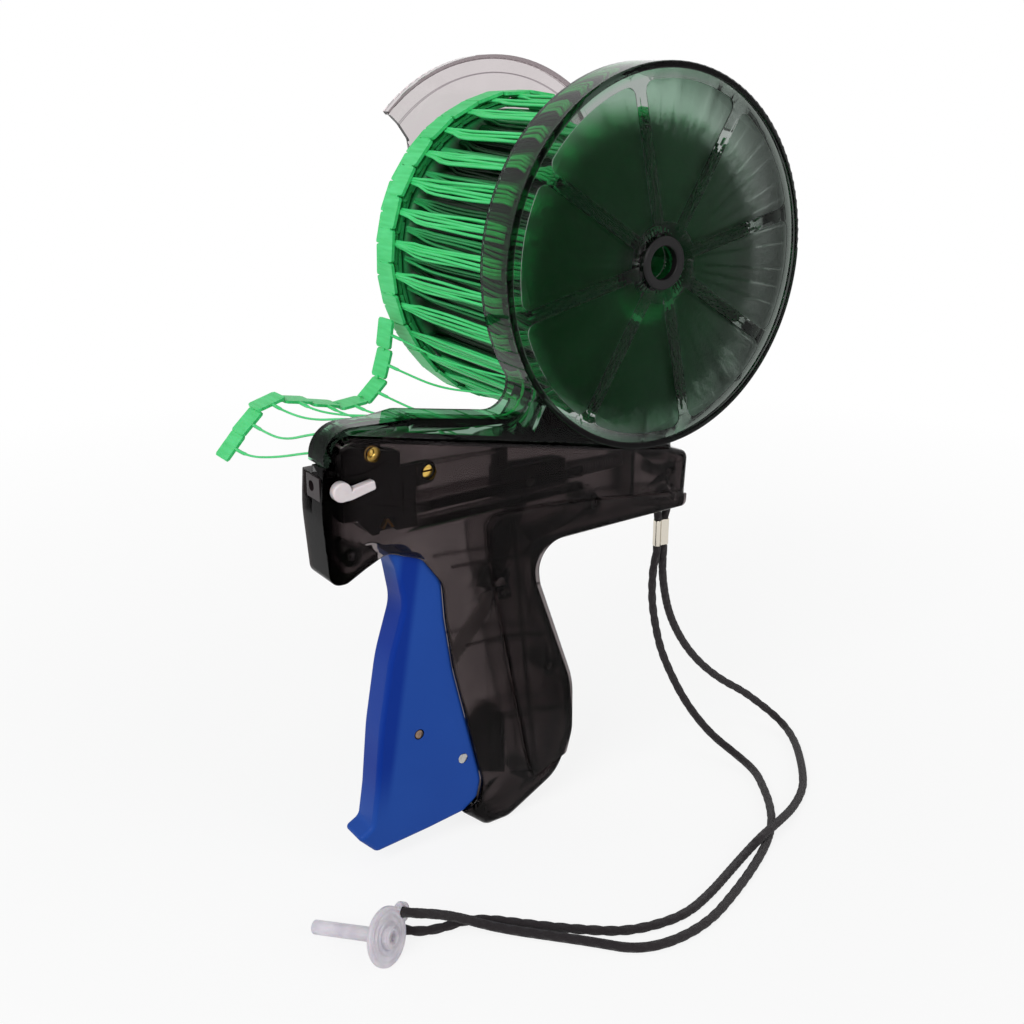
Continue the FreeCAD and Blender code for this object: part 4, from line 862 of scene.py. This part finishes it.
g, size = new_tree("T-bar rings", Rings=22, Inner=0.0175, Pitch=0.0015, Bars=93, Face_Y=-0.0031,
                   Seed=4)
count = add(g, "Math MULTIPLY", (size["Rings"], size["Bars"]))
points = add(g, "GeometryNodePoints", {"Count": count})
index = add(g, "GeometryNodeInputIndex")
jolt = add(g, "FunctionNodeRandomValue FLOAT", {"ID": index, "Seed": size["Seed"]})
turn = add(g, "Math DIVIDE", (index, size["Bars"]))
turn = add(g, "Math FLOOR", (turn,))
share = add(g, "Math MODULO", (index, size["Bars"]))
share = add(g, "Math DIVIDE", (share, size["Bars"]))
share = add(g, "Math MULTIPLY_ADD", (jolt, 0.006, share))
angle = add(g, "Math MULTIPLY", (turn, 0.7))
angle = add(g, "Math MULTIPLY_ADD", (share, 2 * math.pi, angle))
radius = add(g, "Math MULTIPLY_ADD", (jolt, 0.3, turn))
radius = add(g, "Math MULTIPLY_ADD", (radius, size["Pitch"], size["Inner"]))
spot = on_roll(g, radius, angle, size["Face_Y"])
moved = add(g, "GeometryNodeSetPosition", {"Geometry": points, "Position": spot})
rod = add(g, "GeometryNodeMeshCylinder", {"Vertices": 6, "Radius": 0.00035, "Depth": 0.0026})
lean = add(g, "Math SUBTRACT", (math.pi / 2, angle))
roll = add(g, "Math MULTIPLY", (jolt, 0.15))
lean = add(g, "CombineXYZ", (0.0, lean, roll))
placed = add(g, "GeometryNodeInstanceOnPoints", {"Points": moved, "Instance": rod,
                                                 "Rotation": lean})
last_nodes(g, placed, green)
bundles.append(made_by(g, "t_bar_rings", {}))

for piece in bundles + [mass]:
    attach(piece, "roll")
    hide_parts("fastener_roll")
dress("roll_core", "fluted_roll_core", "roll", green_core)


# --- retainer ---
# Pale clear styrene plate with a rim and a hollow spindle that the roll hangs on; its
# front part is cut away.
def retainer_look(tree, place):
    """Polished all over, with a low ring moulded on the plate; the rim's end and a thin arc take a
    darker colour, painted shade.
    """
    at = add(tree, "SeparateXYZ", (place,)).outputs
    reach = from_axis(tree, place, cup_x, cup_z)
    ring = add(tree, "Math COMPARE", (reach, 0.0475, 0.0004))
    ring = add(tree, "Math MULTIPLY", (ring, 3.0))
    # painted shade: darker colour on the rim's end face and in a thin arc where the rim shows
    # through the plate
    rim = add(tree, "Math GREATER_THAN", (at["Y"], 0.0909))
    arc = add(tree, "Math COMPARE", (reach, 0.0566, 0.00022))
    painted_dark_edge = add(tree, "Math MAXIMUM", (rim, arc))
    return 0.0, painted_dark_edge, ring, 0.0, None


pale_clear = smoke_finish(
    "pale clear styrene", retainer_look, density=250.0, shade="#6f2738", clear="#ffffff",
    painted_shade="#ada8ac", gloss="#b9b4b6", polished=0.03, grained=0.03, grain_depth=0.6, even=0.97)
dress("reel_retainer", "clear_reel_retainer", "retainer", pale_clear)


# --- the strip off the roll ---
# T-bars moulded end to end run down the feed track; their paddles hang outside on the
# far side, each joined to the next by a thin neck and to its T-bar by a filament.
rail_route = [(7.05, 0, 97.8), (8.6, 0, 93.4), (5.1, 0, 83.2), (-5.0, 0, 80.9), (-38.0, 0, 86.4),
              (-50.0, 0, 87.2), (-56.3, 0, 87.2), (-56.3, 0, 76.4)]
bar_pitch, bar_length = 0.0111, 0.0096


def t_bar_radius(run, angle):
    """A T-bar, then the thin joint to the next."""
    return 0.00055 if run % bar_pitch < bar_length else 0.00026


rail = swept_tube("t_bar_rail", smooth_line("rail route", rail_route, 24), t_bar_radius, 8)
rail.data.materials.append(green)
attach(rail, "body")
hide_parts("tbar_rail")

# sizes of the loose strip are in millimetres
loose_line = [(-0.9, 96.8), (-2.5, 86.4), (-6.9, 77.3), (-16.0, 73.9), (-26.6, 75.4),
              (-37.0, 78.2), (-46.8, 79.0), (-54.2, 73.2), (-60.8, 66.0)]
loose_roots = [(7.6, 92.4), (5.6, 87.0), (-2.4, 82.2), (-12.6, 82.6), (-23.5, 84.2),
               (-34.5, 85.9), (-45.0, 87.0), (-56.3, 84.8), (-56.3, 78.8)]
loose_y0, loose_y1 = 68.5, 77.9
loose_middle = (loose_y0 + loose_y1) / 2
corners = [(-5.1, -3.9), (-4.3, -4.7), (4.3, -4.7), (5.1, -3.9)]
corners += [(-u, -v) for u, v in corners]
form = bmesh.new()
for i, (x, z) in enumerate(loose_line):
    before, after = loose_line[max(i - 1, 0)], loose_line[min(i + 1, len(loose_line) - 1)]
    along = Vector((after[0] - before[0], 0, after[1] - before[1])).normalized()
    up = Vector((-along.z, 0, along.x))
    middle = Vector((x, loose_middle, z))
    rim = [(along * u, Vector((0, v, 0))) for u, v in corners]
    # a slight curl keeps each paddle from lying dead flat
    skinned(form, [
        [form.verts.new((middle + a + b - up * (0.55 - 0.01 * a.length)) / 1000) for a, b in rim],
        [form.verts.new((middle + a + b + up * (0.55 - 0.01 * b.length)) / 1000) for a, b in rim]])
    if i:
        # neck from the paddle before
        last = Vector((loose_line[i - 1][0], loose_middle, loose_line[i - 1][1]))
        run = (middle - last).normalized()
        side = Vector((-run.z, 0, run.x)) * 0.35
        a, b = last + run * 4.6, middle - run * 4.6
        if (b - a).dot(run) > 0:
            skinned(form, [[form.verts.new((p + side * s + Vector((0, v, 0))) / 1000)
                            for s, v in ((-1, -0.8), (1, -0.8), (1, 0.8), (-1, 0.8))]
                           for p in (a, b)])
loose = [piece_from("loose_paddles", form)]
for i, ((x, z), (root_x, root_z)) in enumerate(zip(loose_line, loose_roots)):
    sag = 2.5 + (i * 37 % 5) * 0.5
    reach = [(root_x, 1.2, root_z), (root_x, 9.0, root_z),
             (root_x * 0.9 + x * 0.1, 20.0, root_z * 0.9 + z * 0.1 - 0.4 * sag),
             (root_x * 0.5 + x * 0.5, 42.0, root_z * 0.5 + z * 0.5 - sag),
             (x, 60.0, z - 0.5), (x, loose_y0 + 0.4, z)]
    loose.append(swept_tube("loose_filament_%d" % (i + 1), smooth_line("filament", reach, 10),
                            lambda run, angle: 0.0004 if run < 0.062 else 0.0006, 6))
for piece in loose:
    piece.data.materials.append(green)
    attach(piece, "body")
    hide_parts("loose_fasteners")


# --- nose and lever ---
# Brass: the block's slotted screws and the wheel's axle, turned and left bright.  The
# feed wheel is stepped by a bronze strip, and a white lever locks the needle.
brass, tree, place = new_finish("turned brass")
cloud, tone = mottled(tree, place, 1500.0, 3.0, "#b98a2e", "#f2d27a")
at = add(tree, "SeparateXYZ", (place,)).outputs
for x, z in (near_screw, (-0.0534, 0.0656)):
    # the screwdriver slot, painted on as a dark line of shade
    line = add(tree, "Math COMPARE", (at["Z"], z, 0.0003))
    head = add(tree, "Math LESS_THAN", (from_axis(tree, place, x, z), 0.0017))
    slot_shade = add(tree, "Math MULTIPLY", (line, head))
    tone = add(tree, "Mix RGBA", {0: slot_shade, "A": tone, "B": hex_colour("#3a2410")})
skin = add(tree, "BsdfPrincipled", {"Base Color": tone, "Metallic": 1.0, "Roughness": 0.24})
add(tree, "OutputMaterial", (skin,))
dress("block_screws", "brass_block_screws", "body", brass)
dress("wheel_axle", "brass_wheel_axle", "body", brass)

# bronze strip for the index spring: darker and redder than brass
bronze = metal_finish("phosphor bronze strip", "#c9974a", 1800.0, 3.0, 0.2, 0.4)
dress("index_spring", "zigzag_index_spring", "body", bronze)

# The needle's lock lever is moulded white acetal, slightly translucent at its edges.
acetal = plain_finish("white acetal", 500.0, 3.0, ("#c9bfc2", "#d9d1d2"), {
    "Roughness": 0.36, "Subsurface Weight": 0.15, "Subsurface Scale": 0.001})
dress("needle_lock_lever", "white_lock_lever", "lock_lever", acetal)


# --- trigger ---
# Blue ABS moulding with a satin skin; it swings on a pale pin, and a brown oiled pin
# through its side drives the link.
drive_pin_x, drive_pin_z = -0.0371, -0.0137
blue, tree, place = new_finish("satin blue ABS")
grain = add(tree, "TexNoise", {"Vector": place, "Scale": 1700.0, "Detail": 2.0})
cloud, tone = mottled(tree, place, 40.0, 2.0, "#1a4293", "#1f4a9d")
# painted shade: a darker band along the rounded front edge, fading out lower down
at = add(tree, "SeparateXYZ", (place,)).outputs
painted_dark_edge = add(tree, "Math MULTIPLY_ADD", (at["Z"], 0.17, -0.0462))
painted_dark_edge = add(tree, "Math SUBTRACT", (at["X"], painted_dark_edge))
painted_dark_edge = add(tree, "Math ABSOLUTE", (painted_dark_edge,))
painted_dark_edge = add(tree, "MapRange", (painted_dark_edge, 0.0018, 0.0048, 0.95, 0.0), interpolation_type="SMOOTHSTEP")
fade = add(tree, "MapRange", (at["Z"], -0.042, -0.020), interpolation_type="SMOOTHSTEP")
painted_shade = add(tree, "Math MULTIPLY", (painted_dark_edge, fade))
tone = add(tree, "Mix RGBA", {0: painted_shade, "A": tone, "B": hex_colour("#002b86")})
bump = add(tree, "Bump", {"Strength": 0.25, "Distance": 0.00008, "Height": grain})
skin = add(tree, "BsdfPrincipled", {
    "Base Color": tone, "Roughness": 0.42, "Specular IOR Level": 0.1, "Normal": bump})
add(tree, "OutputMaterial", (skin,))
dress("trigger", "blue_trigger", "trigger", blue)

# oiled steel of the drive pin: brown with a dull gloss, and darker in a ring round its edge
oiled, tree, place = new_finish("oiled steel")
cloud, tone = mottled(tree, place, 1200.0, 3.0, "#6b5648", "#a58d7b")
reach = from_axis(tree, place, drive_pin_x, drive_pin_z)
rim = add(tree, "MapRange", (reach, 0.00125, 0.00145))
tone = add(tree, "Mix RGBA", {0: rim, "A": tone, "B": hex_colour("#1c120e")})
skin = add(tree, "BsdfPrincipled", {"Base Color": tone, "Metallic": 1.0, "Roughness": 0.35})
add(tree, "OutputMaterial", (skin,))
dress("trigger_drive_pin", "brown_drive_pin", "trigger", oiled)


# --- return spring ---
# Drawn steel wire, 0.7 mm, wound to 5.4 mm.  It lies behind the carriage and pulls it
# and the trigger back.
wire = metal_finish("drawn spring steel", "#8d8d90", 2200.0, 3.0, 0.25, 0.42)
g, size = new_tree("spring coil", Turns=24.0, Length=0.0247, Radius=0.00235, Wire=0.00034)
helix = add(g, "GeometryNodeCurveSpiral", {
    "Resolution": 24, "Rotations": size["Turns"], "Start Radius": size["Radius"],
    "End Radius": size["Radius"], "Height": size["Length"]})
ring = add(g, "GeometryNodeCurvePrimitiveCircle", {"Resolution": 8, "Radius": size["Wire"]})
tube = add(g, "GeometryNodeCurveToMesh", {"Curve": helix, "Profile Curve": ring,
                                          "Fill Caps": True})
laid = add(g, "GeometryNodeTransform", {
    "Geometry": tube, "Translation": (0.0206, 0, 0.062), "Rotation": (0, math.pi / 2, 0)})
last_nodes(g, add(g, "GeometryNodeSetShadeSmooth", (laid,)), wire)
spring = made_by(g, "return_spring_coil", {})
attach(spring, "body")
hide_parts("return_spring")
